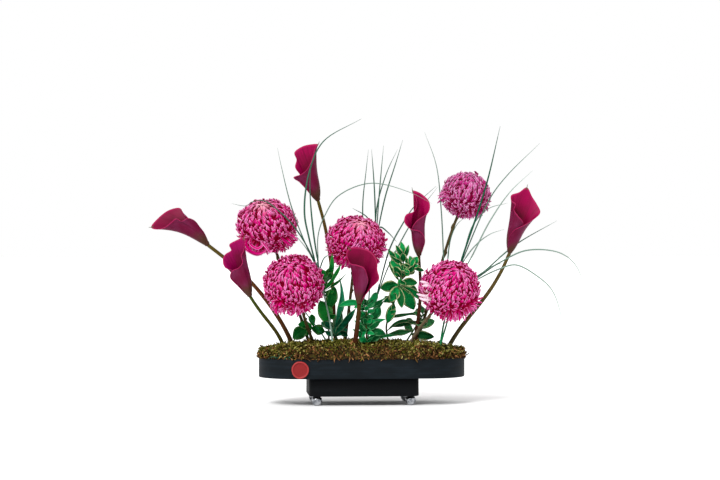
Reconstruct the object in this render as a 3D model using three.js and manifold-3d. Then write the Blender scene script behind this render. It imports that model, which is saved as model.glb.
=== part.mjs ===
// Ikebana arrangement: six dark callas, five chrysanthemums, variegated leaf sprays and grass tufts
// standing through moss in a low stadium-shaped bowl. The bowl rests on a pedestal with four ball feet.
// Millimetres, +Z up, +X along the bowl, -Y towards the front. The origin is under the bowl's centre,
// on the surface that the feet stand on.
import * as THREE from 'three';
import { mergeVertices } from 'three/addons/utils/BufferGeometryUtils.js';
import Module from 'manifold-3d';

const wasm = await Module();
wasm.setup();

// ---------------------------------------------------------------- driving dimensions

const GAP = 0.3; // between a piece and what it stands in or rests on

const BOWL = { length: 381, depth: 156, low: 50, high: 86, wall: 4, floor: 4, edge: 1.2, segments: 5 };
const PEDESTAL = { length: 201, depth: 123, low: 17, corner: 14, edge: 1.2, segments: 2 };
const FOOT = { radius: 9.7, centre: 9.3, top: 14.6, x: 86, y: 46, collarRadius: 7, sides: 9, bands: 3 };
const SEAL = {
  x: -118, z: 67, radius: 16, rim: 2.8, rise: 4, dish: 2.2, bevel: 0.8, shoulder: 1, slope: 1.4, sides: 14,
};
const FOAM = { inset: 1, top: BOWL.high };
// The moss mat: the shares of its reach where its rings lie, and how steeply it falls to its edge.
const MOSS = {
  overhang: 2.2, base: BOWL.high + GAP, rise: 24, relief: 2.6, around: 20,
  rings: [0.5, 0.82, 0.95], hem: 4, undercut: 0.975, steepness: 6, roundness: 0.5, raggedness: 0.006,
};

const STEM_FOOT = 72; // height inside the foam where every stem ends
const DRILL_FOOT = STEM_FOOT - GAP;
const CALLA_STEM = { sides: 5, steps: 7, neck: 9, clear: 1.3 };
const CHRYSANTHEMUM_STEM = { low: 3.5, high: 3.1, sides: 5, steps: 7, reach: 0.62 };
const TWIG = { low: 2.2, high: 1.3, sides: 3, steps: 4 };
const BLADE = { width: 3, thickness: 1.5, sides: 3 };
const CULM = { low: 2.1, high: 1.4, sides: 3, steps: 4 };
const LEAN_BELOW = 0.4; // how much of its lean a stem keeps under the moss

const SPATHE = {
  thickness: 1.1, throat: 2.7, belly: 11.5, shoulder: 0.5, swell: 0.7, wrap: 1.9, wrapAtFoot: 0.35, rows: 3,
  flare: 3, // how late the sheet leaves the roll for its rim
};
const AXIS = { reach: 1.4, samples: 70 }; // how far past its end a spathe's middle line is followed
const PLUG = { radius: 3.6, below: 1, above: 7, sides: 5 };
const SPADIX = { radius: 2.9, length: 36, blunt: 0.81, sides: 6, steps: 3 };
// How each petal leaves the head's core, bends over its crest and comes in to its tip: shares of the
// head's radius, and angles before and after its own place. The sizes belong to a head of one radius.
const PETAL = {
  count: 32, sides: 3, steps: 2, width: 9.5, thickness: 3.4, core: 0.8, coreTurn: 0.3, reach: 2.6,
  headRadius: 56, root: 0.72, below: 0.26, crest: 1.13, bend: 0.1, tip: 0.86, above: 0.52, rootWidth: 0.3,
  fullness: 0.6, least: 0.92, spread: 0.16, order: 3,
};
const LEAF = { thickness: 0.8, fold: 0.16, wave: 0.1, ripple: 5.5, long: 44, wide: 15 };

const FRONT = new THREE.Vector3(0, -1, 0);
const UP = new THREE.Vector3(0, 0, 1);

// ---------------------------------------------------------------- places of the plants

// Each calla: the stem's radius at its foot and under the spathe, its route from the moss, the line through
// the middle of the rolled spathe, and the spathe's rim from its outer free edge, round by the tail, to
// the edge that is tucked inside.
const CALLAS = {
  calla_far_left: {
    girth: [4.2, 3.1],
    stem: [[-122, 50, 108], [-141, 54, 141], [-162, 59, 173], [-205, 65, 229], [-254, 70, 270]],
    axis: [[-285, 73, 294], [-312, 75, 328], [-364, 79, 338]],
    rim: [
      [-295, 69, 321], [-308, 65, 338], [-321, 60, 343], [-334, 57, 337], [-343, 57, 342],
      [-354, 60, 334], [-364, 65, 326], [-378, 74, 322], [-390, 85, 326], [-374, 96, 346],
      [-355, 102, 359], [-336, 100, 362], [-330, 91, 350], [-317, 84, 341], [-304, 73, 324],
    ],
  },
  calla_left: {
    girth: [3.7, 2.7],
    stem: [[-142, 11, 105], [-169, -7, 149], [-189, -17, 168], [-200, -24, 189]],
    axis: [[-208, -29, 201], [-220, -28, 238], [-233, -27, 275]],
    rim: [
      [-222, -32, 211], [-244, -33, 234], [-240, -39, 246], [-228, -46, 252], [-221, -47, 262],
      [-224, -43, 273], [-219, -37, 284], [-217, -31, 298], [-218, -25, 306], [-233, -17, 301],
      [-245, -12, 293], [-241, -13, 284], [-253, -15, 275], [-257, -22, 264], [-253, -28, 252],
      [-240, -32, 247], [-226, -33, 236],
    ],
  },
  calla_top: {
    girth: [3.5, 2.8],
    stem: [[-46, 38, 106], [-51, 56, 218], [-54, 61, 278], [-64, 65, 336]],
    axis: [[-78, 68, 378], [-87, 69, 407], [-104, 70, 449]],
    rim: [
      [-89, 65, 387], [-108, 62, 408], [-124, 63, 419], [-110, 56, 425], [-100, 52, 433],
      [-92, 52, 447], [-87, 56, 461], [-82, 63, 477], [-77, 68, 482], [-92, 77, 482],
      [-107, 84, 478], [-121, 86, 467], [-117, 82, 454], [-120, 77, 440], [-113, 69, 428],
      [-100, 65, 415],
    ],
  },
  calla_front: {
    girth: [4.8, 3.5],
    stem: [[-18, -47, 101], [-13, -59, 147], [-11, -69, 171]],
    axis: [[-11, -77, 188], [-8, -78, 222], [-4, -78, 269]],
    rim: [
      [-6, -87, 195], [9, -99, 216], [23, -99, 231], [21, -88, 248], [21, -79, 266],
      [9, -70, 282], [-8, -63, 288], [-29, -67, 287], [-34, -74, 277], [-28, -84, 260],
      [-16, -92, 257], [-4, -96, 252], [2, -94, 239], [4, -91, 226], [-3, -85, 210],
    ],
  },
  calla_right: {
    girth: [3.7, 2.5],
    stem: [[98, 14, 108], [105, 12, 144], [110, 7, 191], [109, 2, 237]],
    axis: [[106, 0, 275], [105, 0, 309], [103, 0, 358]],
    rim: [
      [110, -6, 280], [116, -11, 296], [114, -16, 309], [104, -20, 319], [89, -19, 322],
      [78, -12, 335], [82, -4, 349], [97, 0, 355], [100, 5, 371], [89, 11, 402],
      [110, 3, 389], [125, -5, 372], [123, -10, 354], [111, -11, 345], [99, -14, 336],
      [91, -11, 321], [94, -5, 302],
    ],
  },
  calla_far_right: {
    girth: [4.1, 3],
    stem: [[157, 0, 105], [201, -2, 161], [237, -3, 204], [261, -4, 241]],
    axis: [[275, -7, 280], [281, -7, 313], [299, -9, 358]],
    rim: [
      [271, -10, 287], [272, -17, 306], [280, -25, 320], [296, -27, 328], [312, -22, 337],
      [331, -13, 353], [326, -5, 369], [318, 1, 383], [309, 4, 400], [294, 1, 391],
      [278, -5, 385], [278, -10, 375], [285, -14, 370], [281, -17, 359], [288, -22, 347],
      [298, -21, 334], [293, -15, 313],
    ],
  },
};

// Each chrysanthemum: centre and radius of the head, how flat it is, the way it faces, its stem's route.
const CHRYSANTHEMUMS = {
  chrysanthemum_upper_left: {
    centre: [-174, 42, 328], radius: 57.5, flat: 0.89, faces: [-0.2, -0.6, 0.75], shade: 0xb41478,
    stem: [[-94, 38, 110], [-120, 42, 181], [-142, 43, 237], [-155, 42, 274]],
  },
  chrysanthemum_lower_left: {
    centre: [-128, -40, 222], radius: 56, flat: 0.96, faces: [-0.15, -0.75, 0.6], shade: 0xb41478,
    stem: [[-84, 7, 103], [-96, -2, 125], [-106, -17, 155]],
  },
  chrysanthemum_middle: {
    centre: [-10, 19, 298], radius: 57, flat: 0.87, faces: [0.15, -0.7, 0.7], shade: 0xb41478,
    stem: [[-29, 38, 108], [-22, 37, 170], [-15, 30, 230]],
  },
  chrysanthemum_upper_right: {
    centre: [199, 34, 387], radius: 46, flat: 0.93, faces: [0.1, -0.5, 0.85], shade: 0xd07ab0,
    stem: [[102, 32, 108], [125, 36, 169], [152, 38, 253], [165, 37, 306]],
  },
  chrysanthemum_lower_right: {
    centre: [158, -51, 210], radius: 56.5, flat: 0.98, faces: [0.15, -0.7, 0.65], shade: 0xb41478,
    stem: [[85, -9, 106], [102, -22, 136], [118, -32, 158]],
  },
};

// Leaf outlines: where the widest place lies, how full the blade is, and how high it arches.
const OVAL = { skew: 1.25, fullness: 0.7, arch: 0.05 };
const LANCE = { skew: 0.9, fullness: 1, arch: 0.05 };
const ARCHED = { skew: 0.9, fullness: 0.9, arch: 0.2 };

// Each leaf: [foot on the twig, tip, width, turn about its own length in degrees, outline].
const SPRAYS = {
  spray_left: {
    twigs: [
      [[-61, 13, 105], [-61, 11, 143], [-66, 10, 182], [-69, 10, 209], [-63, 5, 230]],
      [[-62, 11, 139], [-80, 16, 144], [-95, 21, 137]],
    ],
    leaves: [
      [[-62, 9, 141], [-74, 5, 189], 28, 10, OVAL],
      [[-64, 11, 165], [-51, 12, 216], 22, 15, OVAL],
      [[-69, 11, 206], [-74, 10, 250], 15, 20, LANCE],
      [[-70, 8, 208], [-39, -22, 256], 11, 40, LANCE],
      [[-62, 5, 230], [-53, -18, 271], 11, 20, LANCE],
      [[-68, 7, 208], [-29, -13, 238], 7, 55, LANCE],
      [[-94, 20, 137], [-123, 32, 125], 24, 12, OVAL],
      [[-93, 19, 137], [-73, 11, 133], 18, 15, OVAL],
      [[-63, 5, 230], [-75, 14, 248], 11, -25, LANCE],
    ],
  },
  spray_mid: {
    twigs: [[[-47, 14, 105], [-48, 12, 126], [-52, 9, 143]]],
    leaves: [
      [[-52, 8, 135], [-29, -12, 225], 13, 35, LANCE],
      [[-51, 10, 128], [-38, 6, 174], 17, 15, LANCE],
      [[-51, 8, 126], [-13, -25, 175], 16, 25, LANCE],
    ],
  },
  spray_centre: {
    twigs: [[[7, -34, 100], [5, -39, 137], [5, -38, 170], [1, -36, 185]]],
    leaves: [
      [[2, -36, 181], [-48, -30, 175], 13, -15, ARCHED],
      [[5, -38, 168], [-16, -49, 159], 12, 10, OVAL],
      [[1, -36, 183], [20, -38, 192], 8, -20, LANCE],
      [[5, -38, 157], [12, -53, 151], 15, 0, OVAL],
      [[4, -38, 172], [29, -30, 206], 15, 10, OVAL],
      [[4, -37, 174], [44, -26, 196], 9, 35, LANCE],
      [[5, -37, 166], [44, -24, 188], 8, 30, LANCE],
      [[5, -39, 145], [34, -33, 179], 18, 15, OVAL],
      [[5, -39, 143], [41, -37, 156], 10, -20, LANCE],
      [[5, -39, 134], [29, -49, 151], 11, 10, OVAL],
      [[5, -39, 132], [41, -39, 131], 15, -10, OVAL],
      [[5, -39, 130], [-10, -51, 147], 11, -10, OVAL],
      [[6, -37, 114], [-9, -50, 124], 12, -10, OVAL],
      [[6, -37, 115], [-21, -40, 139], 11, 25, LANCE],
      [[5, -39, 137], [-18, -43, 155], 8, 10, LANCE],
      [[6, -37, 115], [32, -37, 130], 16, 10, OVAL],
      [[6, -37, 114], [16, -47, 124], 7, 20, LANCE],
      [[7, -36, 115], [63, -27, 125], 8, -30, LANCE],
      [[6, -38, 119], [24, -50, 131], 6, 0, LANCE],
      [[5, -38, 148], [-4, -30, 172], 17, 0, OVAL],
    ],
  },
  spray_right: {
    twigs: [
      [[51, 8, 105], [46, 5, 143], [58, 3, 180], [66, 1, 206], [72, -3, 235], [78, -6, 269]],
      [[72, -2, 228], [83, -7, 239], [94, -9, 252]],
    ],
    leaves: [
      [[77, -6, 267], [73, -4, 300], 12, 0, LANCE],
      [[77, -6, 267], [62, -10, 293], 11, -15, LANCE],
      [[77, -6, 267], [86, -12, 293], 10, 20, LANCE],
      [[77, -6, 267], [87, 1, 283], 9, 60, LANCE],
      [[76, -6, 261], [58, -15, 278], 9, -30, LANCE],
      [[77, -7, 261], [73, -20, 277], 13, 0, OVAL],
      [[76, -5, 256], [52, -16, 270], 10, -30, LANCE],
      [[75, -4, 248], [47, 0, 285], 13, -10, LANCE],
      [[74, -4, 243], [53, -6, 264], 17, -10, OVAL],
      [[72, -3, 233], [56, -13, 242], 9, -30, OVAL],
      [[71, -2, 224], [45, -8, 261], 7, -40, LANCE],
      [[73, -3, 232], [83, -2, 259], 17, 10, OVAL],
      [[93, -9, 250], [87, -15, 273], 11, -20, LANCE],
      [[94, -9, 250], [97, -14, 271], 15, 10, OVAL],
      [[92, -8, 250], [79, -4, 271], 10, -30, LANCE],
      [[93, -9, 250], [114, -13, 245], 8, 10, OVAL],
      [[93, -7, 252], [109, 27, 268], 12, 0, OVAL],
      [[82, -6, 238], [100, 0, 249], 7, 45, LANCE],
      [[68, 0, 219], [33, -15, 213], 22, -10, OVAL],
      [[68, 0, 217], [52, -16, 188], 20, -10, OVAL],
      [[70, 0, 222], [102, -12, 223], 17, 0, OVAL],
      [[68, 0, 215], [73, -14, 176], 16, 0, OVAL],
      [[69, 1, 219], [100, 24, 170], 24, 10, OVAL],
      [[70, 1, 220], [109, 26, 203], 15, -10, OVAL],
      [[60, 2, 185], [48, -8, 150], 18, 0, OVAL],
      [[69, 1, 217], [130, 29, 180], 13, -10, LANCE],
    ],
  },
  spray_low: {
    twigs: [[[81, 25, 104], [96, 24, 130], [118, 24, 164]]],
    leaves: [
      [[116, 24, 161], [51, 25, 143], 11, -50, ARCHED],
      [[109, 24, 150], [55, 31, 141], 11, -35, LANCE],
      [[104, 23, 142], [47, 23, 131], 9, 40, ARCHED],
      [[97, 23, 132], [49, 27, 125], 12, -20, LANCE],
      [[100, 23, 137], [140, 24, 150], 18, 5, OVAL],
      [[93, 24, 126], [136, 14, 121], 18, 15, OVAL],
    ],
  },
};

// Each tuft: the culms that stand in the moss, and the blades that part from them.
const TUFTS = {
  tuft_left: {
    culms: [[[-56, -46, 98], [-61, -25, 152], [-73, -10, 210], [-84, -5, 261]]],
    blades: [
      [[-73, -10, 210], [-98, 0, 306], [-106, 8, 354], [-96, 28, 428], [-70, 34, 485], [1, 30, 528]],
      [[-76, -9, 225], [-90, 5, 320], [-95, 22, 395], [-93, 29, 445]],
      [[-78, -8, 237], [-109, 3, 306], [-131, 10, 367], [-149, 26, 443], [-155, 30, 473]],
      [[-80, -7, 247], [-108, -12, 300], [-130, -17, 331], [-156, -15, 357], [-181, -6, 374],
        [-203, 2, 372], [-214, 5, 365], [-240, 7, 369]],
      [[-80, -7, 250], [-106, -8, 290], [-130, -10, 318]],
      [[-80, -8, 243], [-81, 0, 311], [-68, 5, 348], [-44, 7, 383], [15, 1, 407], [87, -19, 390],
        [127, -28, 369]],
      [[-80, -8, 243], [-71, -10, 268], [-62, -13, 275]],
    ],
  },
  tuft_centre: {
    culms: [[[14, 27, 104], [16, 44, 180], [22, 56, 242], [32, 69, 308], [34, 69, 336]]],
    blades: [
      [[22, 56, 242], [10, 75, 313], [7, 68, 368], [13, 61, 434], [17, 59, 472]],
      [[32, 69, 308], [29, 66, 396], [23, 60, 473]],
      [[32, 68, 302], [38, 67, 387], [46, 63, 480]],
      [[30, 67, 293], [34, 70, 364], [53, 70, 430], [73, 69, 473]],
      [[32, 68, 302], [49, 62, 383], [69, 55, 449], [81, 50, 490]],
      [[28, 66, 283], [39, 63, 326], [54, 56, 316], [70, 51, 298]],
      [[28, 66, 283], [17, 65, 342], [-13, 61, 362]],
    ],
  },
  tuft_slanting: {
    culms: [[[17, 1, 104], [21, 6, 163], [33, 12, 220]]],
    blades: [
      [[27, 10, 191], [54, 22, 286], [76, 26, 328], [100, 30, 364], [142, 31, 403]],
      [[27, 10, 191], [48, 16, 246], [76, 22, 302], [106, 30, 351], [145, 35, 401]],
    ],
  },
  blade_low: {
    culms: [[[-65, 1, 112], [-78, 2, 134], [-94, 4, 154], [-109, 9, 176], [-118, 15, 193]]],
    blades: [],
  },
  tuft_right: {
    culms: [
      [[141, -35, 102], [150, -16, 145], [163, 5, 190], [171, 9, 224]],
      [[142, -31, 105], [155, -18, 145], [168, 3, 181]],
    ],
    blades: [
      [[158, 0, 176], [154, 12, 261], [151, 28, 358], [142, 31, 442], [120, 31, 504]],
      [[169, 7, 213], [189, 3, 274], [203, -4, 317], [218, -15, 365], [233, -18, 417], [256, -14, 513]],
      [[169, 7, 213], [196, 5, 283], [238, -5, 379], [269, -9, 421], [329, -18, 481]],
      [[171, 9, 222], [197, 7, 256], [239, 2, 337], [276, -2, 391], [318, -5, 431]],
      [[163, 5, 194], [161, 9, 261], [167, 9, 306], [178, 4, 331], [196, -3, 348]],
      [[171, 9, 222], [191, 8, 263], [214, 9, 293], [241, 11, 313], [268, 15, 322]],
      [[171, 9, 218], [190, 6, 275], [208, 4, 330], [236, 3, 360], [274, 14, 371]],
      [[169, 7, 205], [218, 5, 235], [273, 13, 281], [301, 14, 301], [366, 7, 338]],
      [[169, 7, 202], [214, -5, 235], [249, -36, 259], [296, -71, 283], [350, -90, 280],
        [376, -98, 263], [391, -103, 235], [393, -104, 210]],
      [[168, 5, 198], [219, -5, 231], [255, -20, 249], [283, -28, 256], [321, -35, 236],
        [348, -41, 210], [362, -47, 171], [365, -49, 140]],
      [[169, 7, 202], [216, -5, 233], [246, -23, 255], [260, -33, 261]],
    ],
  },
};

// ---------------------------------------------------------------- finishes

const finish = (color, roughness, metalness = 0) =>
  new THREE.MeshStandardMaterial({ color, roughness, metalness });

const FINISHES = {
  bowl: finish(0x21282f, 0.5),
  pedestal: finish(0x101418, 0.55),
  chrome: finish(0xd8dadc, 0.15, 1),
  seal: finish(0xaa262a, 0.45),
  foam: finish(0x3c5a34, 0.95),
  moss: finish(0x5f5f26, 1),
  spathe: finish(0x8e0e48, 0.5),
  spadix: finish(0xc8b45a, 0.7),
  stem: finish(0x57491c, 0.6),
  leaf: finish(0x1a6a35, 0.5),
  grass: finish(0x1e644b, 0.5),
};

// ---------------------------------------------------------------- making and fusing solids

const point = ([x, y, z]) => new THREE.Vector3(x, y, z);
const mix = THREE.MathUtils.lerp;

// A repeatable draw between 0 and 1 for a whole number.
const draw = (n) => {
  const wave = Math.sin(n * 12.9898 + 4.1) * 43758.5453;
  return wave - Math.floor(wave);
};

// The same faces with shared corners and without those that have shrunk to a line.
function bare(geometry) {
  const copy = geometry.clone();
  copy.deleteAttribute('normal');
  copy.deleteAttribute('uv');
  const merged = mergeVertices(copy, 1e-4);
  const faces = [];
  for (let i = 0; i < merged.index.count; i += 3) {
    const [a, b, c] = merged.index.array.slice(i, i + 3);
    if (a !== b && b !== c && c !== a) faces.push(a, b, c);
  }
  merged.setIndex(faces);
  return merged;
}

function toSolid(geometry) {
  const merged = bare(geometry);
  const vertProperties = Float32Array.from(merged.attributes.position.array);
  const triVerts = Uint32Array.from(merged.index.array);
  return new wasm.Manifold(new wasm.Mesh({ numProp: 3, vertProperties, triVerts }));
}

function toGeometry(solid) {
  const { vertProperties, triVerts } = solid.getMesh();
  const geometry = new THREE.BufferGeometry();
  geometry.setAttribute('position', new THREE.BufferAttribute(Float32Array.from(vertProperties), 3));
  geometry.setIndex(Array.from(triVerts));
  return geometry;
}

const fuse = (geometries) => geometries.map(toSolid).reduce((whole, piece) => whole.add(piece));

// Keeps the largest shell of a fused solid, so loose scraps go and sealed hollows are filled.
function largestShell(geometry) {
  const index = geometry.index.array;
  const place = geometry.attributes.position;
  const parent = Array.from({ length: place.count }, (_, i) => i);
  const find = (i) => {
    let top = i;
    while (parent[top] !== top) top = parent[top] = parent[parent[top]];
    return top;
  };
  for (let i = 0; i < index.length; i += 3) {
    parent[find(index[i])] = find(index[i + 1]);
    parent[find(index[i + 1])] = find(index[i + 2]);
  }
  const volumes = new Map();
  const [a, b, c] = [new THREE.Vector3(), new THREE.Vector3(), new THREE.Vector3()];
  for (let i = 0; i < index.length; i += 3) {
    a.fromBufferAttribute(place, index[i]);
    b.fromBufferAttribute(place, index[i + 1]);
    c.fromBufferAttribute(place, index[i + 2]);
    const shell = find(index[i]);
    volumes.set(shell, (volumes.get(shell) ?? 0) + a.dot(b.cross(c)) / 6);
  }
  const [best] = [...volumes].sort((one, other) => other[1] - one[1])[0];
  const kept = [];
  for (let i = 0; i < index.length; i += 3) {
    if (find(index[i]) === best) kept.push(index[i], index[i + 1], index[i + 2]);
  }
  const shell = geometry.clone();
  shell.setIndex(kept);
  return bare(shell);
}

// ---------------------------------------------------------------- rods, blades and sheets

// The side and the outward direction of a ribbon that runs along `tangent` and faces the front.
function ribbonFrame(tangent, face = FRONT) {
  const out = face.clone().addScaledVector(tangent, -face.dot(tangent)).normalize();
  const side = new THREE.Vector3().crossVectors(tangent, out);
  return { side, out };
}

// Bends an upright unit cylinder along a curve. section(t) gives its half width and half thickness.
function rod(curve, section, sides, steps, face = FRONT) {
  const geometry = new THREE.CylinderGeometry(1, 1, 1, sides, steps);
  const place = geometry.attributes.position;
  const vertex = new THREE.Vector3();
  for (let i = 0; i < place.count; i++) {
    vertex.fromBufferAttribute(place, i);
    const t = vertex.y + 0.5;
    const { side, out } = ribbonFrame(curve.getTangentAt(t), face);
    const [halfWidth, halfThickness] = section(t);
    const centre = curve.getPointAt(t);
    centre.addScaledVector(side, vertex.x * halfWidth).addScaledVector(out, vertex.z * halfThickness);
    place.setXYZ(i, centre.x, centre.y, centre.z);
  }
  return geometry;
}

// A route from the foam up through the moss, and on along its points.
function rooted(points, depth = STEM_FOOT) {
  const [base, next] = points.map(point);
  const lean = (base.z - depth) / (next.z - base.z) * LEAN_BELOW;
  const foot = base.clone().addScaledVector(base.clone().sub(next), lean).setZ(depth);
  return new THREE.CatmullRomCurve3([foot, ...points.map(point)], false, 'centripetal');
}

const smooth = (points) => new THREE.CatmullRomCurve3(points.map(point), false, 'centripetal');

// A round stem or culm that thins evenly.
function stick(curve, { low, high, sides, steps }, grow = 0) {
  const section = (t) => {
    const radius = mix(low, high, t) + grow;
    return [radius, radius];
  };
  return rod(curve, section, sides, steps);
}

// Turns a one-sided surface into a closed sheet of even thickness, split alike on both faces.
function thicken(surface, thickness) {
  const sheet = bare(surface);
  sheet.computeVertexNormals();
  const { position: place, normal } = sheet.attributes;
  const vertices = [];
  for (const half of [thickness / 2, -thickness / 2]) {
    for (let i = 0; i < place.count; i++) {
      const vertex = new THREE.Vector3().fromBufferAttribute(place, i);
      vertex.addScaledVector(new THREE.Vector3().fromBufferAttribute(normal, i), half);
      vertices.push(vertex.x, vertex.y, vertex.z);
    }
  }
  const front = Array.from(sheet.index.array);
  const back = [];
  const edges = new Map();
  for (let i = 0; i < front.length; i += 3) {
    const [a, b, c] = front.slice(i, i + 3);
    back.push(a + place.count, c + place.count, b + place.count);
    for (const [from, to] of [[a, b], [b, c], [c, a]]) {
      if (!edges.delete(`${to}-${from}`)) edges.set(`${from}-${to}`, [from, to]);
    }
  }
  const rim = [...edges.values()].flatMap(([from, to]) => [
    from, from + place.count, to + place.count,
    from, to + place.count, to,
  ]);
  const solid = new THREE.BufferGeometry();
  solid.setAttribute('position', new THREE.Float32BufferAttribute(vertices, 3));
  solid.setIndex([...front, ...back, ...rim]);
  return solid;
}

// ---------------------------------------------------------------- bowl, pedestal, feet, seal

// A rectangle whose corners are round; with half its depth as the radius its ends are half circles.
function roundedOutline(length, depth, radius, segments) {
  const [x, y] = [length / 2 - radius, depth / 2 - radius];
  const outline = new THREE.Shape();
  outline.absarc(x, -y, radius, -Math.PI / 2, 0);
  outline.absarc(x, y, radius, 0, Math.PI / 2);
  outline.absarc(-x, y, radius, Math.PI / 2, Math.PI);
  outline.absarc(-x, -y, radius, Math.PI, Math.PI * 1.5);
  outline.closePath();
  return new THREE.Shape(outline.extractPoints(segments).shape);
}

function slab(length, depth, radius, low, high, edge, segments) {
  const outline = roundedOutline(length - 2 * edge, depth - 2 * edge, radius - edge, segments);
  const settings = {
    depth: high - low - 2 * edge,
    bevelEnabled: edge > 0,
    bevelSize: edge,
    bevelThickness: edge,
    bevelSegments: 1,
  };
  return new THREE.ExtrudeGeometry(outline, settings).translate(0, 0, low + edge);
}

function bowl() {
  const { length, depth, low, high, wall, floor, edge, segments } = BOWL;
  const outside = toSolid(slab(length, depth, depth / 2, low, high, edge, segments));
  const [innerLength, innerDepth] = [length - 2 * wall, depth - 2 * wall];
  const inside = slab(innerLength, innerDepth, innerDepth / 2, low + floor, high + wall, 0, segments);
  return toGeometry(outside.subtract(toSolid(inside)));
}

function pedestal() {
  const { length, depth, low, corner, edge, segments } = PEDESTAL;
  return slab(length, depth, corner, low, BOWL.low - GAP, edge, segments);
}

function lathe(profile, sides) {
  return new THREE.LatheGeometry(profile.map(([r, h]) => new THREE.Vector2(r, h)), sides);
}

function footBall() {
  const { radius, centre, top, sides, bands } = FOOT;
  const [lowAngle, highAngle] = [Math.asin(-centre / radius), Math.asin((top - centre) / radius)];
  const profile = [[0, 0]];
  for (let band = 0; band <= bands; band++) {
    const angle = mix(lowAngle, highAngle, band / bands);
    profile.push([radius * Math.cos(angle), centre + radius * Math.sin(angle)]);
  }
  profile.push([0, top]);
  return lathe(profile, sides).rotateX(Math.PI / 2);
}

function footCollar() {
  const low = FOOT.top + GAP;
  const height = PEDESTAL.low - GAP - low;
  const disc = new THREE.CylinderGeometry(FOOT.collarRadius, FOOT.collarRadius, height, FOOT.sides);
  return disc.rotateX(Math.PI / 2).translate(0, 0, low + height / 2);
}

// The round wax-like seal: a dished disc with a rounded raised rim.
function seal() {
  const { radius, rim, rise, dish, bevel, shoulder, slope, sides } = SEAL;
  const profile = [
    [0, 0], [radius - bevel, 0], [radius, bevel], [radius, rise - shoulder], [radius - shoulder, rise],
    [radius - rim + slope - bevel, rise], [radius - rim - bevel, dish], [0, dish],
  ];
  return lathe(profile, sides).rotateX(Math.PI);
}

// ---------------------------------------------------------------- foam and moss

// Stands every stem in its own plain hole, a little wider than the stem.
function drilled(geometry, drills) {
  const cut = drills.reduce((whole, drill) => whole.subtract(toSolid(drill)), toSolid(geometry));
  return largestShell(toGeometry(cut));
}

function foamBlock() {
  const { wall, floor, low, length, depth, segments } = BOWL;
  const cut = 2 * (wall + FOAM.inset);
  return slab(length - cut, depth - cut, (depth - cut) / 2, low + floor + GAP, FOAM.top, 0, segments);
}

// How far the stadium's edge lies from its middle in the direction (x, y), both on the unit circle.
function stadiumReach(x, y, length, depth) {
  const radius = depth / 2;
  const straight = length / 2 - radius;
  const toSide = Math.abs(y) > 1e-9 ? radius / Math.abs(y) : Infinity;
  if (Math.abs(x) * toSide <= straight) return toSide;
  const along = Math.abs(x) * straight;
  return along + Math.sqrt(along * along - straight * straight + radius * radius);
}

// A gentle rise and fall over the mat, between about -1.6 and 1.6.
const relief = (x, y) =>
  Math.sin(x * 0.19 + 1.3) * Math.cos(y * 0.23 - 0.4) + 0.6 * Math.sin(x * 0.41 + y * 0.37 + 2);

// The height of the moss at a place between 0, the middle of the mat, and 1, its edge.
const mound = (reach) => MOSS.rise * (1 - reach ** MOSS.steepness) ** MOSS.roundness;

function mossMat() {
  const { overhang, base, around, rings, hem, undercut } = MOSS;
  const profile = [[0, 0], [undercut, 0], [1, 0.5], ...rings.map((ring) => [ring, 1]).reverse(), [0, 1]];
  const geometry = lathe(profile, around).rotateX(Math.PI / 2);
  const place = geometry.attributes.position;
  for (let i = 0; i < place.count; i++) {
    const [unitX, unitY, level] = [place.getX(i), place.getY(i), place.getZ(i)];
    const reach = Math.hypot(unitX, unitY);
    const [cos, sin] = reach > 0 ? [unitX / reach, unitY / reach] : [1, 0];
    const edge = stadiumReach(cos, sin, BOWL.length + 2 * overhang, BOWL.depth + 2 * overhang);
    const [x, y] = [cos * reach * edge, sin * reach * edge];
    const bumps = MOSS.relief * relief(x, y);
    const height = level === 1 ? mound(reach) + bumps : level * (hem + bumps);
    const bulge = reach > undercut ? 1 + MOSS.raggedness * relief(y, x) : 1;
    place.setXYZ(i, x * bulge, y * bulge, base + height);
  }
  return geometry;
}

// ---------------------------------------------------------------- callas

// A point on the bent middle line of a spathe; past its end the line runs on straight.
function alongAxis(axis, t) {
  if (t <= 1) return axis.getPoint(t);
  const beyond = axis.v2.clone().sub(axis.v1).multiplyScalar(2);
  return axis.getPoint(1).addScaledVector(beyond, t - 1);
}

function nearestOnAxis(axis, target) {
  const samples = Array.from({ length: AXIS.samples + 1 }, (_, i) => i / AXIS.samples * AXIS.reach);
  const distance = (t) => alongAxis(axis, t).distanceTo(target);
  return samples.reduce((best, t) => (distance(t) < distance(best) ? t : best));
}

// The radius of the rolled body at a height: a fast widening that levels off.
function bodyRadius(height) {
  const { throat, belly, shoulder, swell } = SPATHE;
  return mix(throat, belly, Math.sin(Math.PI / 2 * Math.min(1, height / shoulder)) ** swell);
}

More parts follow.
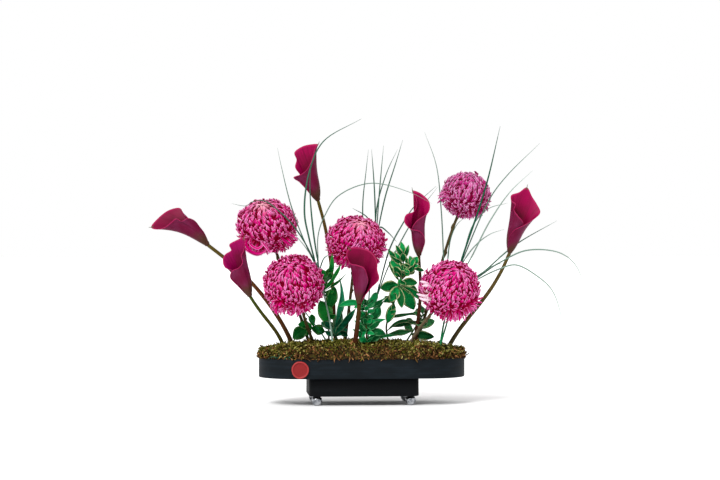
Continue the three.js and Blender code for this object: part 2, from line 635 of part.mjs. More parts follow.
// The spathe: a sheet rolled round its middle line, flaring out to its rim, closed at its foot.
function spathe({ axis: axisPoints, rim }) {
  const axis = new THREE.QuadraticBezierCurve3(...axisPoints.map(point));
  const columns = rim.length - 1;
  const rulings = rim.map(point).map((edge, i) => {
    const height = nearestOnAxis(axis, edge);
    const radial = edge.clone().sub(alongAxis(axis, height));
    const extra = SPATHE.wrap * (1 - i / columns);
    return { height, extra, reach: radial.length(), out: radial.normalize() };
  });
  const sheet = new THREE.PlaneGeometry(1, 1, columns, SPATHE.rows);
  const place = sheet.attributes.position;
  for (let i = 0; i < place.count; i++) {
    const ruling = rulings[Math.round((place.getX(i) + 0.5) * columns)];
    const t = place.getY(i) + 0.5;
    const flare = t ** SPATHE.flare;
    const wrap = ruling.extra * mix(SPATHE.wrapAtFoot, 1, t);
    const rolled = bodyRadius(ruling.height * t) + wrap;
    const radius = mix(rolled, ruling.reach, flare);
    const vertex = alongAxis(axis, ruling.height * t).addScaledVector(ruling.out, radius);
    place.setXYZ(i, vertex.x, vertex.y, vertex.z);
  }
  const plug = alongFoot(axis, -PLUG.below, PLUG.above, PLUG.radius);
  return fuse([thicken(sheet, SPATHE.thickness), plug]);
}

// A short round rod on the spathe's middle line, between two distances from its foot.
function alongFoot(axis, from, to, radius) {
  const foot = axis.getPoint(0);
  const way = axis.getTangent(0);
  const at = (distance) => foot.clone().addScaledVector(way, distance);
  return rod(new THREE.LineCurve3(at(from), at(to)), () => [radius, radius], PLUG.sides, 1);
}

function spadix({ axis: axisPoints }) {
  const axis = new THREE.QuadraticBezierCurve3(...axisPoints.map(point));
  const foot = axis.getPoint(0);
  const way = axis.getTangent(0);
  const from = foot.clone().addScaledVector(way, PLUG.above + GAP);
  const to = foot.clone().addScaledVector(way, PLUG.above + GAP + SPADIX.length);
  const profile = (t) => SPADIX.radius * Math.sqrt(1 - SPADIX.blunt * (2 * t - 1) ** 2);
  return rod(new THREE.LineCurve3(from, to), (t) => [profile(t), profile(t)], SPADIX.sides, SPADIX.steps);
}

// The stem ends just under the spathe, square to its middle line.
function callaStemRoute({ stem, axis: axisPoints }, depth) {
  const axis = new THREE.QuadraticBezierCurve3(...axisPoints.map(point));
  const foot = axis.getPoint(0);
  const way = axis.getTangent(0);
  const end = (distance) => foot.clone().addScaledVector(way, -distance).toArray();
  return rooted([...stem, end(CALLA_STEM.neck), end(PLUG.below + CALLA_STEM.clear)], depth);
}

// ---------------------------------------------------------------- chrysanthemums

// One incurved petal of a head: a keeled rod bent out over its crest and in again to its tip.
function petal(head, tilt, turn, size) {
  const { centre, radius, flat, frame } = head;
  const towards = (angle, distance) => {
    const ring = Math.sin(angle) * distance;
    const local = new THREE.Vector3(Math.cos(turn) * ring, Math.sin(turn) * ring, Math.cos(angle) * distance);
    local.applyQuaternion(frame).z *= flat;
    return local.add(centre);
  };
  const path = new THREE.QuadraticBezierCurve3(
    towards(tilt + PETAL.below, radius * PETAL.root),
    towards(tilt + PETAL.bend, radius * PETAL.crest),
    towards(tilt - PETAL.above * size, radius * PETAL.tip),
  );
  const out = towards(tilt, 1).sub(centre);
  const section = (t) => {
    const breadth = Math.sin(Math.PI * mix(PETAL.rootWidth, 1, t)) ** PETAL.fullness;
    return [PETAL.width * size * breadth, PETAL.thickness * breadth];
  };
  return rod(path, section, PETAL.sides, PETAL.steps, out);
}

// Petals stand on the head in the golden-angle order of a real flower, leaving the stem's side free.
function chrysanthemumHead({ centre: place, radius, flat, faces, stem }) {
  const frame = new THREE.Quaternion().setFromUnitVectors(UP, point(faces).normalize());
  const centre = point(place);
  const head = { centre, radius, flat, frame };
  const core = new THREE.IcosahedronGeometry(radius * PETAL.core, 1);
  core.rotateX(PETAL.coreTurn).rotateZ(PETAL.coreTurn).scale(1, 1, flat).translate(...place);
  const petals = [];
  const goldenAngle = Math.PI * (3 - Math.sqrt(5));
  for (let i = 0; i < PETAL.count; i++) {
    const tilt = Math.acos(1 - (1 - Math.cos(PETAL.reach)) * (i + 0.5) / PETAL.count);
    const growth = PETAL.least + PETAL.spread * draw(i + place[2] + PETAL.order);
    const size = growth * radius / PETAL.headRadius;
    petals.push(petal(head, tilt, i * goldenAngle, size));
  }
  const route = chrysanthemumStemRoute({ centre: place, radius, stem }, STEM_FOOT, GAP);
  const hole = toSolid(stick(route, CHRYSANTHEMUM_STEM, GAP));
  return largestShell(toGeometry(fuse([core, ...petals]).subtract(hole)));
}

// The stem runs up to the head and a little way into it.
function chrysanthemumStemRoute({ centre, radius, stem }, depth, beyond = 0) {
  const middle = point(centre);
  const below = point(stem[stem.length - 1]);
  const top = middle.clone().add(below.sub(middle).setLength(radius * CHRYSANTHEMUM_STEM.reach - beyond));
  return rooted([...stem, top.toArray()], depth);
}

// ---------------------------------------------------------------- leaves and grass

// The point inside the given straight-sided sticks that lies nearest to a place.
function nearestOn(routes, steps, place) {
  const spots = [];
  for (const route of routes) {
    for (let step = 0; step < steps; step++) {
      const chord = new THREE.Line3(route.getPointAt(step / steps), route.getPointAt((step + 1) / steps));
      spots.push(chord.closestPointToPoint(place, true, new THREE.Vector3()));
    }
  }
  return spots.reduce((best, spot) => (spot.distanceTo(place) < best.distanceTo(place) ? spot : best));
}

// A folded, waved leaf blade between the place where it leaves its twig and its tip.
function leaf(routes, [from, to, width, turn, outline], order) {
  const [foot, tip] = [nearestOn(routes, TWIG.steps, point(from)), point(to)];
  const along = tip.clone().sub(foot);
  const length = along.length();
  const way = along.clone().normalize();
  const face = FRONT.clone().applyAxisAngle(way, THREE.MathUtils.degToRad(turn));
  const { side, out } = ribbonFrame(way, face);
  const [columns, rows] = [width > LEAF.wide ? 2 : 1, length > LEAF.long ? 4 : 3];
  const sheet = new THREE.PlaneGeometry(1, 1, columns, rows);
  const place = sheet.attributes.position;
  const phase = Math.PI * 2 * draw(order);
  for (let i = 0; i < place.count; i++) {
    const t = place.getY(i) + 0.5;
    const across = place.getX(i) * 2;
    const breadth = Math.max(Math.sin(Math.PI * t ** outline.skew), 0) ** outline.fullness;
    const half = width / 2 * breadth;
    const wave = LEAF.wave * width * Math.sin(LEAF.ripple * t + phase + across) * Math.abs(across);
    const vertex = foot.clone().addScaledVector(along, t).addScaledVector(side, across * half);
    vertex.addScaledVector(out, LEAF.fold * half * Math.abs(across) + wave * breadth);
    vertex.addScaledVector(UP, outline.arch * length * 4 * t * (1 - t));
    place.setXYZ(i, vertex.x, vertex.y, vertex.z);
  }
  return thicken(sheet, LEAF.thickness);
}

function spray({ twigs, leaves }) {
  const [trunk, ...branches] = twigs;
  const routes = [rooted(trunk), ...branches.map(smooth)];
  const wood = routes.map((route) => stick(route, TWIG));
  const blades = leaves.map((blade, order) => leaf(routes, blade, order));
  return largestShell(toGeometry(fuse([...wood, ...blades])));
}

// A long keeled grass blade of three sides that thins to its tip.
function grassBlade(culms, points) {
  const [first, ...rest] = points.map(point);
  const places = [nearestOn(culms, CULM.steps, first), ...rest];
  const route = new THREE.CatmullRomCurve3(places, false, 'centripetal');
  const section = (t) => {
    const taper = 1 - t ** 3;
    return [BLADE.width / 2 * taper, BLADE.thickness / 2 * taper];
  };
  return rod(route, section, BLADE.sides, points.length + 1);
}

function tuft({ culms, blades }) {
  const routes = culms.map((culm) => rooted(culm));
  const stalks = routes.map((route) => stick(route, CULM));
  return largestShell(toGeometry(fuse([...stalks, ...blades.map((blade) => grassBlade(routes, blade))])));
}

// ---------------------------------------------------------------- the whole arrangement

const arrangement = new THREE.Group();

function add(name, geometry, material) {
  const mesh = new THREE.Mesh(geometry, material);
  mesh.name = name;
  arrangement.add(mesh);
  return mesh;
}

// The seal lies flat against the place where the bowl's front begins to curve.
function addSeal() {
  const radius = BOWL.depth / 2;
  const corner = BOWL.length / 2 - radius;
  const turn = Math.asin((-SEAL.x - corner) / radius);
  const disc = add('seal', seal(), FINISHES.seal);
  disc.rotation.z = -turn;
  disc.position.set(SEAL.x - GAP * Math.sin(turn), -(radius + GAP) * Math.cos(turn), SEAL.z);
}

function addHolder() {
  add('bowl', bowl(), FINISHES.bowl);
  add('pedestal', pedestal(), FINISHES.pedestal);
  addSeal();
  const corners = [[-1, -1], [1, -1], [1, 1], [-1, 1]];
  corners.forEach(([x, y], i) => {
    for (const [part, geometry, material] of [
      ['foot_ball', footBall(), FINISHES.chrome],
      ['foot_collar', footCollar(), FINISHES.pedestal],
    ]) {
      add(`${part}_${i + 1}`, geometry, material).position.set(x * FOOT.x, y * FOOT.y, 0);
    }
  });
}

function addCalla(name, calla, drills) {
  add(`${name}_spathe`, largestShell(toGeometry(spathe(calla))), FINISHES.spathe);
  add(`${name}_spadix`, spadix(calla), FINISHES.spadix);
  const [low, high] = calla.girth;
  const girth = { ...CALLA_STEM, low, high };
  add(`${name}_stem`, stick(callaStemRoute(calla), girth), FINISHES.stem);
  drills.push(stick(callaStemRoute(calla, DRILL_FOOT), girth, GAP));
}

function addChrysanthemum(name, flower, drills) {
  add(`${name}_head`, chrysanthemumHead(flower), finish(flower.shade, 0.7));
  add(`${name}_stem`, stick(chrysanthemumStemRoute(flower), CHRYSANTHEMUM_STEM), FINISHES.stem);
  drills.push(stick(chrysanthemumStemRoute(flower, DRILL_FOOT), CHRYSANTHEMUM_STEM, GAP));
}

function addPlants() {
  const drills = [];
  for (const [name, calla] of Object.entries(CALLAS)) addCalla(name, calla, drills);
  for (const [name, flower] of Object.entries(CHRYSANTHEMUMS)) addChrysanthemum(name, flower, drills);
  for (const [name, branch] of Object.entries(SPRAYS)) {
    add(name, spray(branch), FINISHES.leaf);
    drills.push(stick(rooted(branch.twigs[0], DRILL_FOOT), TWIG, GAP));
  }
  for (const [name, grass] of Object.entries(TUFTS)) {
    add(name, tuft(grass), FINISHES.grass);
    for (const culm of grass.culms) drills.push(stick(rooted(culm, DRILL_FOOT), CULM, GAP));
  }
  return drills;
}

addHolder();
const drills = addPlants();
add('foam', drilled(foamBlock(), drills), FINISHES.foam);
add('moss', drilled(mossMat(), drills), FINISHES.moss);

export default arrangement;
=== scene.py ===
"""Dresses the ikebana arrangement in Blender.

Six callas, five chrysanthemums, leaf sprays and grass tufts rise through a bed of moss in a low,
stadium-shaped bowl. The bowl rests on a pedestal with four ball feet. Lengths are millimetres in the
row frame (+X along the bowl, -Y to the front, +Z up) until a mesh is made, which is in metres.
"""

from __future__ import annotations

import logging
import math
from dataclasses import dataclass, field
from enum import Enum
from typing import Any, ClassVar, Protocol, Sequence, Union

import bpy
import numpy as np
from mathutils import Matrix, Vector
from mathutils.bvhtree import BVHTree

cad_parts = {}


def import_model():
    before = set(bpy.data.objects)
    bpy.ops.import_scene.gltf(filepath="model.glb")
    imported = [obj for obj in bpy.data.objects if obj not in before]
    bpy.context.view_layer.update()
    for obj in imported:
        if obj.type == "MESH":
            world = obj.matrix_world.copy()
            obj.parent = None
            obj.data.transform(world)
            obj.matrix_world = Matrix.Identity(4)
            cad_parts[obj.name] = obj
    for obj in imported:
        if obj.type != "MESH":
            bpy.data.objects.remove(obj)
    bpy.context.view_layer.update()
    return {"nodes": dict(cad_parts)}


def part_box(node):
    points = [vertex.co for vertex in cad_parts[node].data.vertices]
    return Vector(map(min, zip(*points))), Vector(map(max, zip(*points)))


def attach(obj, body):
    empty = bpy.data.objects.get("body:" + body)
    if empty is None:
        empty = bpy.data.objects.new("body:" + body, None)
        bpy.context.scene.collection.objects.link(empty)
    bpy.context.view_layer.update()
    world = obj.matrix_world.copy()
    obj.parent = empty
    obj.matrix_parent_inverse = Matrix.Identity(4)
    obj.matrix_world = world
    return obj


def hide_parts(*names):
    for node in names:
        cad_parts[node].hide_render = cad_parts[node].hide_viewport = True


LOG = logging.getLogger("ikebana")

METRE = 1000.0  # millimetres
DISPLAY_WHITE = 255
PLAIN_SPECULAR = 0.5  # what a Principled shader starts with
GOLDEN_ANGLE = math.pi * (3 - math.sqrt(5))
FRONT = np.array([0.0, -1.0, 0.0])
UP = np.array([0.0, 0.0, 1.0])

Colour = tuple[float, float, float, float]
Spot = tuple[float, float, float]
Route = Sequence[Spot]
Chance = np.random.Generator


def srgb(red: int, green: int, blue: int) -> Colour:
    """Turns display values into an opaque linear colour, by the sRGB curve.

    Args:
        red: From 0 to 255, as are the other two.
        green: The second value.
        blue: The third value.

    Returns:
        The colour, with its alpha.
    """
    shares = (red / DISPLAY_WHITE, green / DISPLAY_WHITE, blue / DISPLAY_WHITE)
    linear = [c / 12.92 if c <= 0.04045 else ((c + 0.055) / 1.055) ** 2.4 for c in shares]
    return (linear[0], linear[1], linear[2], 1.0)


# ------------------------------------------------------------------------------- shader expressions


class Wire:
    """A node's output that grows Math nodes when Python's operators meet it."""

    def __init__(self, paint: Paint, socket: bpy.types.NodeSocket) -> None:
        """Keeps the socket and the paint that it belongs to."""
        self.paint = paint
        self.socket = socket

    def __add__(self, other: Value) -> Wire:
        """Returns self + other."""
        return self.paint.math("ADD", self, other)

    def __sub__(self, other: Value) -> Wire:
        """Returns self - other."""
        return self.paint.math("SUBTRACT", self, other)

    def __rsub__(self, other: Value) -> Wire:
        """Returns other - self."""
        return self.paint.math("SUBTRACT", other, self)

    def __mul__(self, other: Value) -> Wire:
        """Returns self * other."""
        return self.paint.math("MULTIPLY", self, other)

    def __abs__(self) -> Wire:
        """Returns the value without its sign."""
        return self.paint.math("ABSOLUTE", self)

    __radd__ = __add__
    __rmul__ = __mul__


Value = Union[Wire, float, Colour, Spot]


class Paint:
    """One material while its nodes are laid out."""

    def __init__(self, name: str) -> None:
        """Starts an empty material.

        Args:
            name: The material's name.
        """
        self.material = bpy.data.materials.new(name)
        self.material.use_nodes = True
        self.tree = self.material.node_tree
        self.tree.nodes.clear()

    def node(self, kind: str, settings: dict[str, Any], inputs: dict[Any, Value], output: Any = 0) -> Wire:
        """Adds a node.

        Args:
            kind: The node's type name.
            settings: Its own properties; "stops" holds a ramp's positions and colours.
            inputs: A value or wire for each socket, by name or number.
            output: The socket that the wire comes from.

        Returns:
            The wire from that output.
        """
        node = self.tree.nodes.new(kind)
        for key, value in settings.items():
            if key == "stops":
                self.set_stops(node.color_ramp, value)
            else:
                setattr(node, key, value)
        for key, value in inputs.items():
            if isinstance(value, Wire):
                self.tree.links.new(value.socket, node.inputs[key])
            else:
                node.inputs[key].default_value = value
        return Wire(self, node.outputs[output])

    @staticmethod
    def set_stops(ramp: bpy.types.ColorRamp, stops: Sequence[tuple[float, Colour]]) -> None:
        """Gives a colour ramp its stops.

        Args:
            ramp: The ramp, with the two stops that it starts with.
            stops: Position and colour of each stop, in order.
        """
        while len(ramp.elements) < len(stops):
            ramp.elements.new(0.5)
        for element, (position, colour) in zip(ramp.elements, stops):
            element.position = position
            element.color = colour

    def math(self, operation: str, *values: Value) -> Wire:
        """Returns a Math node's result for the values."""
        return self.node("ShaderNodeMath", {"operation": operation}, dict(enumerate(values)))

    def between(self, value: Value, low: float, high: float) -> Wire:
        """Returns a smooth step from 0 at low to 1 at high."""
        settings = {"interpolation_type": "SMOOTHSTEP"}
        return self.node("ShaderNodeMapRange", settings, {"Value": value, "From Min": low, "From Max": high})

    def blend(self, first: Value, second: Value, amount: Value) -> Wire:
        """Returns the colour that lies between two others."""
        return self.node("ShaderNodeMix", {"data_type": "RGBA"}, {0: amount, 6: first, 7: second}, 2)

    def ramp(self, value: Value, stops: Sequence[tuple[float, Colour]]) -> Wire:
        """Returns the colour that a ramp has at a value."""
        return self.node("ShaderNodeValToRGB", {"stops": stops}, {"Fac": value})

    def mark(self, name: str) -> Wire:
        """Returns a number that the mesh carries at its points."""
        return self.node("ShaderNodeAttribute", {"attribute_name": name}, {}, "Fac")

    def place(self, stretch: Spot = (1.0, 1.0, 1.0)) -> Wire:
        """Returns the place on the object, in metres, stretched along its axes."""
        here = self.node("ShaderNodeTexCoord", {}, {}, "Object")
        return self.node("ShaderNodeMapping", {}, {"Vector": here, "Scale": stretch})

    def weave(self, x: Value, y: Value, z: Value = 0.0) -> Wire:
        """Returns a vector made of three values."""
        return self.node("ShaderNodeCombineXYZ", {}, {"X": x, "Y": y, "Z": z})

    def noise(self, where: Wire, scale: float, detail: float = 3.0) -> Wire:
        """Returns smooth noise from 0 to 1 at a place."""
        return self.node("ShaderNodeTexNoise", {}, {"Vector": where, "Scale": scale, "Detail": detail})

    def bump(self, height: Wire, distance: float, strength: float = 1.0) -> Wire:
        """Returns a normal that follows a height.

        Args:
            height: The height, from 0 to 1.
            distance: How far 1 stands out, in metres.
            strength: How much of it shows.

        Returns:
            The wire of the bent normal.
        """
        return self.node("ShaderNodeBump", {}, {"Height": height, "Distance": distance, "Strength": strength})

    def close(
        self,
        skin: Value,
        roughness: Value,
        relief: Wire | None = None,
        specular: float = PLAIN_SPECULAR,
        more: dict[str, Value] | None = None,
    ) -> bpy.types.Material:
        """Ends the material in one Principled shader.

        Args:
            skin: The base colour.
            roughness: How rough it is.
            relief: The normal; None leaves the mesh's own.
            specular: The specular level.
            more: Values and wires for further sockets.

        Returns:
            The finished material.
        """
        sockets: dict[str, Value] = {"Base Color": skin, "Roughness": roughness}
        sockets["Specular IOR Level"] = specular
        if relief is not None:
            sockets["Normal"] = relief
        shader = self.node("ShaderNodeBsdfPrincipled", {}, sockets | (more or {}))
        output = self.tree.nodes.new("ShaderNodeOutputMaterial")
        self.tree.links.new(shader.socket, output.inputs["Surface"])
        return self.material


# ------------------------------------------------------------------------------- finishes


class Finish(Protocol):
    """Anything that a piece can be finished in."""

    def material(self) -> bpy.types.Material:
        """Lays out the finished material.

        Returns:
            The finished material.
        """


@dataclass(frozen=True)
class PetalFinish:
    """The ribbon petals of one chrysanthemum, streaked pale on the reverse, with painted shade at the root.
    """

    name: str
    # painted shade at the petals' roots and on the inner ball, where they lie among the other petals
    depth: Colour
    flesh: Colour
    reverse: Colour
    # painted highlight on the petal tips
    tip: Colour
    heart: Colour
    bleached: Colour = srgb(226, 200, 212)
    roughness: float = 0.65
    specular: float = 0.02
    # strength of a painted glow, standing in for light that shines through the petals
    glow: float = 0.17

    def material(self) -> bpy.types.Material:
        """Lays out the petals' material.

        Returns:
            The finished material.
        """
        paint = Paint(self.name)
        along, across, outer, tone = (paint.mark(m) for m in ("along", "across", "outer", "tone"))
        streak = paint.noise(paint.weave(across * 4.0, along * 1.3, tone * 60.0), 2.1, 2.0)
        spread = abs(across - 0.5) * 2.0
        # the inner face darkens towards the root in painted shade
        inner = paint.blend(self.depth, self.flesh, paint.between(along, 0.45, 0.95))
        # pale streaks on the reverse are the petal's own colour; their rise towards its edges is painted
        # highlight
        pale = paint.between(streak * 0.9 + tone * 0.5 + spread * 0.5 - 0.62, 0.34, 0.56)
        back = paint.blend(self.flesh, self.reverse, pale)
        skin = paint.blend(inner, back, outer * paint.between(along, 0.35, 0.6))
        # painted shade at the petal's root, among the other petals
        skin = paint.blend(self.depth, skin, paint.between(along, 0.4, 0.8) * 0.85 + 0.15)
        # painted highlight on the tip
        skin = paint.blend(skin, self.tip, paint.between(along + streak * 0.3, 1.0, 1.2) * 0.75)
        skin = paint.blend(skin, self.heart, paint.mark("heart") * paint.between(along, 0.4, 0.95))
        skin = paint.blend(skin, self.bleached, paint.mark("tail"))
        relief = paint.bump(paint.noise(paint.weave(across * 9.0, along, tone * 9.0), 3.0), 0.0003, 0.5)
        # painted glow: the petals' own colour given off as light
        glow = {"Emission Color": skin, "Emission Strength": self.glow}
        return paint.close(skin, self.roughness, relief, self.specular, glow)


@dataclass(frozen=True)
class SpatheFinish:
    """The rolled spathe of a calla, richer inside than out, with an olive foot and painted shade deep inside.
    """

    name: str = "spathe"
    inside: Colour = srgb(136, 0, 62)
    # painted shade deep inside the rolled spathe
    throat: Colour = srgb(84, 0, 24)
    rim: Colour = srgb(168, 30, 84)
    outside: Colour = srgb(92, 8, 44)
    bloom: Colour = srgb(104, 32, 66)
    foot: Colour = srgb(70, 46, 34)
    vein: Colour = srgb(78, 0, 32)
    tail: Colour = srgb(84, 78, 56)
    specular: float = 0.07

    def material(self) -> bpy.types.Material:
        """Lays out the spathe's material.

        Returns:
            The finished material.
        """
        paint = Paint(self.name)
        along, across, outer = (paint.mark(m) for m in ("along", "across", "outer"))
        cloud = paint.noise(paint.place(), 38.0, 4.0)
        vein = paint.noise(paint.weave(across * 60.0, along * 1.4), 1.0, 2.0)
        # darker towards the foot inside: painted shade deep in the funnel
        inside = paint.blend(self.throat, self.inside, paint.between(along + cloud * 0.5, 0.7, 1.22))
        outside = paint.blend(self.outside, self.bloom, paint.between(cloud + vein * 0.4, 0.6, 0.9))
        outside = paint.blend(self.foot, outside, paint.between(along + cloud * 0.2, 0.2, 0.62))
        skin = paint.blend(inside, outside, outer)
        skin = paint.blend(skin, self.vein, paint.between(vein, 0.5, 0.7) * 0.45)
        skin = paint.blend(skin, self.rim, paint.between(along, 0.955, 1.0) * 0.6)
        skin = paint.blend(skin, self.tail, paint.between(paint.mark("tail"), 0.55, 1.0))
        relief = paint.bump(vein, 0.0005, 0.5)
        return paint.close(skin, 0.5 - cloud * 0.15, relief, self.specular)


@dataclass(frozen=True)
class LeafFinish:
    """A leaf with a paler midrib and underside, and a cream edge where it is variegated."""

    name: str
    blade: Colour
    light: Colour
    edge: Colour
    underside: Colour
    variegation: float
    ribs: float = 34.0
    specular: float = 0.06

    def material(self) -> bpy.types.Material:
        """Lays out the leaf's material.

        Returns:
            The finished material.
        """
        paint = Paint(self.name)
        along, across, outer, tone = (paint.mark(m) for m in ("along", "across", "outer", "tone"))
        patch = paint.noise(paint.place(), 95.0, 4.0)
        spread = abs(across - 0.5) * 2.0
        rib = paint.math("SINE", (along * 2.2 - spread * 0.75 + tone) * self.ribs) * 0.5 + 0.5
        blade = paint.blend(self.blade, self.light, paint.between(patch + tone * 0.8 - 0.4, 0.4, 0.62))
        blade = paint.blend(blade, self.light, rib * 0.2)
        ragged = paint.between(spread + patch * 0.7 - 0.35, 0.7, 0.84)
        blade = paint.blend(blade, self.edge, ragged * self.variegation)
        blade = paint.blend(self.light, blade, paint.between(spread, 0.0, 0.07) * 0.5 + 0.5)
        skin = paint.blend(blade, self.underside, (1 - outer) * 0.9)
        relief = paint.bump(rib * 0.6 + paint.between(spread, 0.0, 0.12) * 0.4, 0.0006, 0.7)
        return paint.close(skin, 0.3 + patch * 0.2, relief, self.specular)


@dataclass(frozen=True)
class GrassFinish:
    """Grass blades, each as pale as its own tone says."""

    name: str = "grass"
    dark: Colour = srgb(0, 74, 50)
    pale: Colour = srgb(176, 196, 184)
    culm: Colour = srgb(4, 118, 62)
    groove: Colour = srgb(14, 44, 34)
    roughness: float = 0.55
    specular: float = 0.06

    def material(self) -> bpy.types.Material:
        """Lays out the grass material.

        Returns:
            The finished material.
        """
        paint = Paint(self.name)
        along, across, tone = (paint.mark(m) for m in ("along", "across", "tone"))
        rib = paint.noise(paint.weave(across * 8.0, along * 4.0, tone * 20.0), 1.6, 2.0)
        skin = paint.blend(self.dark, self.pale, tone)
        skin = paint.blend(skin, self.culm, paint.mark("heart"))
        skin = paint.blend(skin, self.groove, paint.between(rib, 0.5, 0.8) * (0.35 - tone * 0.3))
        relief = paint.bump(rib, 0.0002, 0.5)
        return paint.close(skin, self.roughness, relief, self.specular)


@dataclass(frozen=True)
class StemFinish:
    """A stem that changes colour from its foot to its head."""

    name: str
    foot: Colour
    middle: Colour
    head: Colour
    fleck: Colour
    roughness: float = 0.45
    specular: float = 0.08

    def material(self) -> bpy.types.Material:
        """Lays out the stem's material.

        Returns:
            The finished material.
        """
        paint = Paint(self.name)
        along, across = paint.mark("along"), paint.mark("across")
        grain = paint.noise(paint.weave(across * 5.0, along * 9.0, paint.mark("tone") * 30.0), 2.2, 5.0)
        skin = paint.ramp(along, [(0.1, self.foot), (0.5, self.middle), (0.95, self.head)])
        skin = paint.blend(skin, self.fleck, paint.between(grain, 0.5, 0.72) * 0.55)
        relief = paint.bump(grain, 0.0006, 0.6)
        return paint.close(skin, self.roughness + grain * 0.15, relief, self.specular)


@dataclass(frozen=True)
class MossFinish:
    """Dry moss strands: olive-green above, brown to orange where it is thin and at the rim, darkened by
    painted shade at their feet and at low tone.
    """

    name: str = "moss"
    shade: Colour = srgb(20, 20, 6)
    green: Colour = srgb(76, 76, 20)
    lime: Colour = srgb(118, 116, 44)
    straw: Colour = srgb(172, 164, 98)
    # painted shade among the strands
    gap_shade: Colour = srgb(34, 22, 12)
    brown: Colour = srgb(78, 50, 26)
    tan: Colour = srgb(122, 84, 50)
    orange: Colour = srgb(170, 120, 78)
    frill: Colour = srgb(48, 92, 70)
    roughness: float = 0.85
    specular: float = 0.03

    def material(self) -> bpy.types.Material:
        """Lays out the strands' material.

        Returns:
            The finished material.
        """
        paint = Paint(self.name)
        along, tone = paint.mark("along"), paint.mark("tone")
        # tone 0 in both ramps is painted shade down among the clumps
        green = paint.ramp(tone, [(0.0, self.shade), (0.4, self.green), (0.75, self.lime), (1.0, self.straw)])
        brown = paint.ramp(tone, [(0.0, self.gap_shade), (0.4, self.brown), (0.8, self.tan), (0.97, self.orange)])
        skin = paint.blend(brown, green, paint.between(paint.mark("heart"), 0.3, 0.6))
        skin = paint.blend(skin, self.frill, paint.mark("tail"))
        # painted shade at each strand's foot, down in the mat
        skin = paint.blend(self.gap_shade, skin, paint.between(along, -0.2, 0.4))
        return paint.close(skin, self.roughness, specular=self.specular)


@dataclass(frozen=True)
class MossBedFinish:
    """The matted moss under the strands."""

    name: str = "moss_bed"
    dark: Colour = srgb(30, 22, 10)
    light: Colour = srgb(74, 64, 24)
    roughness: float = 0.95
    specular: float = 0.15

    def material(self) -> bpy.types.Material:
        """Lays out the bed's material.

        Returns:
            The finished material.
        """
        paint = Paint(self.name)
        tuft = paint.noise(paint.place(), 210.0, 6.0)
        skin = paint.blend(self.dark, self.light, paint.between(tuft, 0.42, 0.68))
        relief = paint.bump(tuft, 0.004)
        return paint.close(skin, self.roughness, relief, self.specular)


@dataclass(frozen=True)
class CastFinish:
    """Dark, layer-built casing with fine level lines, a little worn in patches."""

    name: str
    body: Colour
    worn: Colour
    lines_per_metre: float
    roughness: float
    specular: float = 0.09

    def material(self) -> bpy.types.Material:
        """Lays out the casing's material.

        Returns:
            The finished material.
        """
        paint = Paint(self.name)
        haze = paint.noise(paint.place((1.0, 1.0, 4.0)), 30.0, 5.0)
        layer = paint.noise(paint.place((3.0, 3.0, self.lines_per_metre)), 1.0, 2.0)
        skin = paint.blend(self.body, self.worn, paint.between(haze * 0.6 + layer * 0.4, 0.4, 0.75))
        relief = paint.bump(layer, 0.00025, 0.7)
        return paint.close(skin, self.roughness + haze * 0.18, relief, self.specular)


@dataclass(frozen=True)
class ChromeFinish:
    """Polished metal with a breath of haze."""

    name: str = "chrome"
    body: Colour = srgb(178, 180, 184)
    dull: Colour = srgb(120, 123, 128)

    def material(self) -> bpy.types.Material:
        """Lays out the metal's material.

        Returns:
            The finished material.
        """
        paint = Paint(self.name)
        haze = paint.noise(paint.place(), 160.0, 4.0)
        skin = paint.blend(self.body, self.dull, paint.between(haze, 0.42, 0.6))
        return paint.close(skin, 0.04 + haze * 0.08, more={"Metallic": 1.0})


@dataclass(frozen=True)
class SealFinish:
    """Poured red seal, lighter where it stands up, in painted highlight."""

    name: str = "seal"
    dish: Colour = srgb(122, 22, 24)
    # painted highlight on the raised rim
    rim: Colour = srgb(148, 44, 44)
    specular: float = 0.2

    def material(self) -> bpy.types.Material:
        """Lays out the seal's material.

        Returns:
            The finished material.
        """
        paint = Paint(self.name)
        ripple = paint.noise(paint.place(), 230.0, 3.0)
        # painted highlight, growing with how far the seal stands up
        skin = paint.blend(self.dish, self.rim, paint.between(paint.mark("along") + ripple * 0.3, 0.55, 0.95))
        relief = paint.bump(ripple, 0.0006, 0.5)
        return paint.close(skin, 0.34 + ripple * 0.2, relief, self.specular)


@dataclass(frozen=True)
class FoamFinish:
    """Soaked foam with open pores, darker in them as painted shade."""

    name: str = "foam"
    body: Colour = srgb(44, 78, 50)
    # painted shade in the pores
    hollow: Colour = srgb(24, 46, 30)
    roughness: float = 0.95

    def material(self) -> bpy.types.Material:
        """Lays out the foam's material.

        Returns:
            The finished material.
        """
        paint = Paint(self.name)
        pore = paint.noise(paint.place(), 900.0, 2.0)
        # pores darkened in painted shade
        skin = paint.blend(self.body, self.hollow, paint.between(pore, 0.5, 0.7))
        return paint.close(skin, self.roughness, paint.bump(pore, 0.001))


@dataclass(frozen=True)
class SpadixFinish:
    """The pale, grainy spike inside a spathe."""

    name: str = "spadix"
    body: Colour = srgb(206, 178, 84)
    shade: Colour = srgb(150, 110, 48)
    roughness: float = 0.7

    def material(self) -> bpy.types.Material:
        """Lays out the spike's material.

        Returns:
            The finished material.
        """
        paint = Paint(self.name)
        grain = paint.noise(paint.place(), 800.0, 2.0)
        skin = paint.blend(self.body, self.shade, paint.between(grain, 0.5, 0.7))
        return paint.close(skin, self.roughness, paint.bump(grain, 0.0008))


# ------------------------------------------------------------------------------- lines and surfaces


def draw(index: float) -> float:
    """Returns a repeatable draw between 0 and 1 for a number."""
    return (math.sin(index * 12.9898 + 4.1) * 43758.5453) % 1.0


def unit(vectors: np.ndarray) -> np.ndarray:
    """Returns the vectors at length 1."""
    return vectors / np.maximum(np.linalg.norm(vectors, axis=-1, keepdims=True), 1e-9)


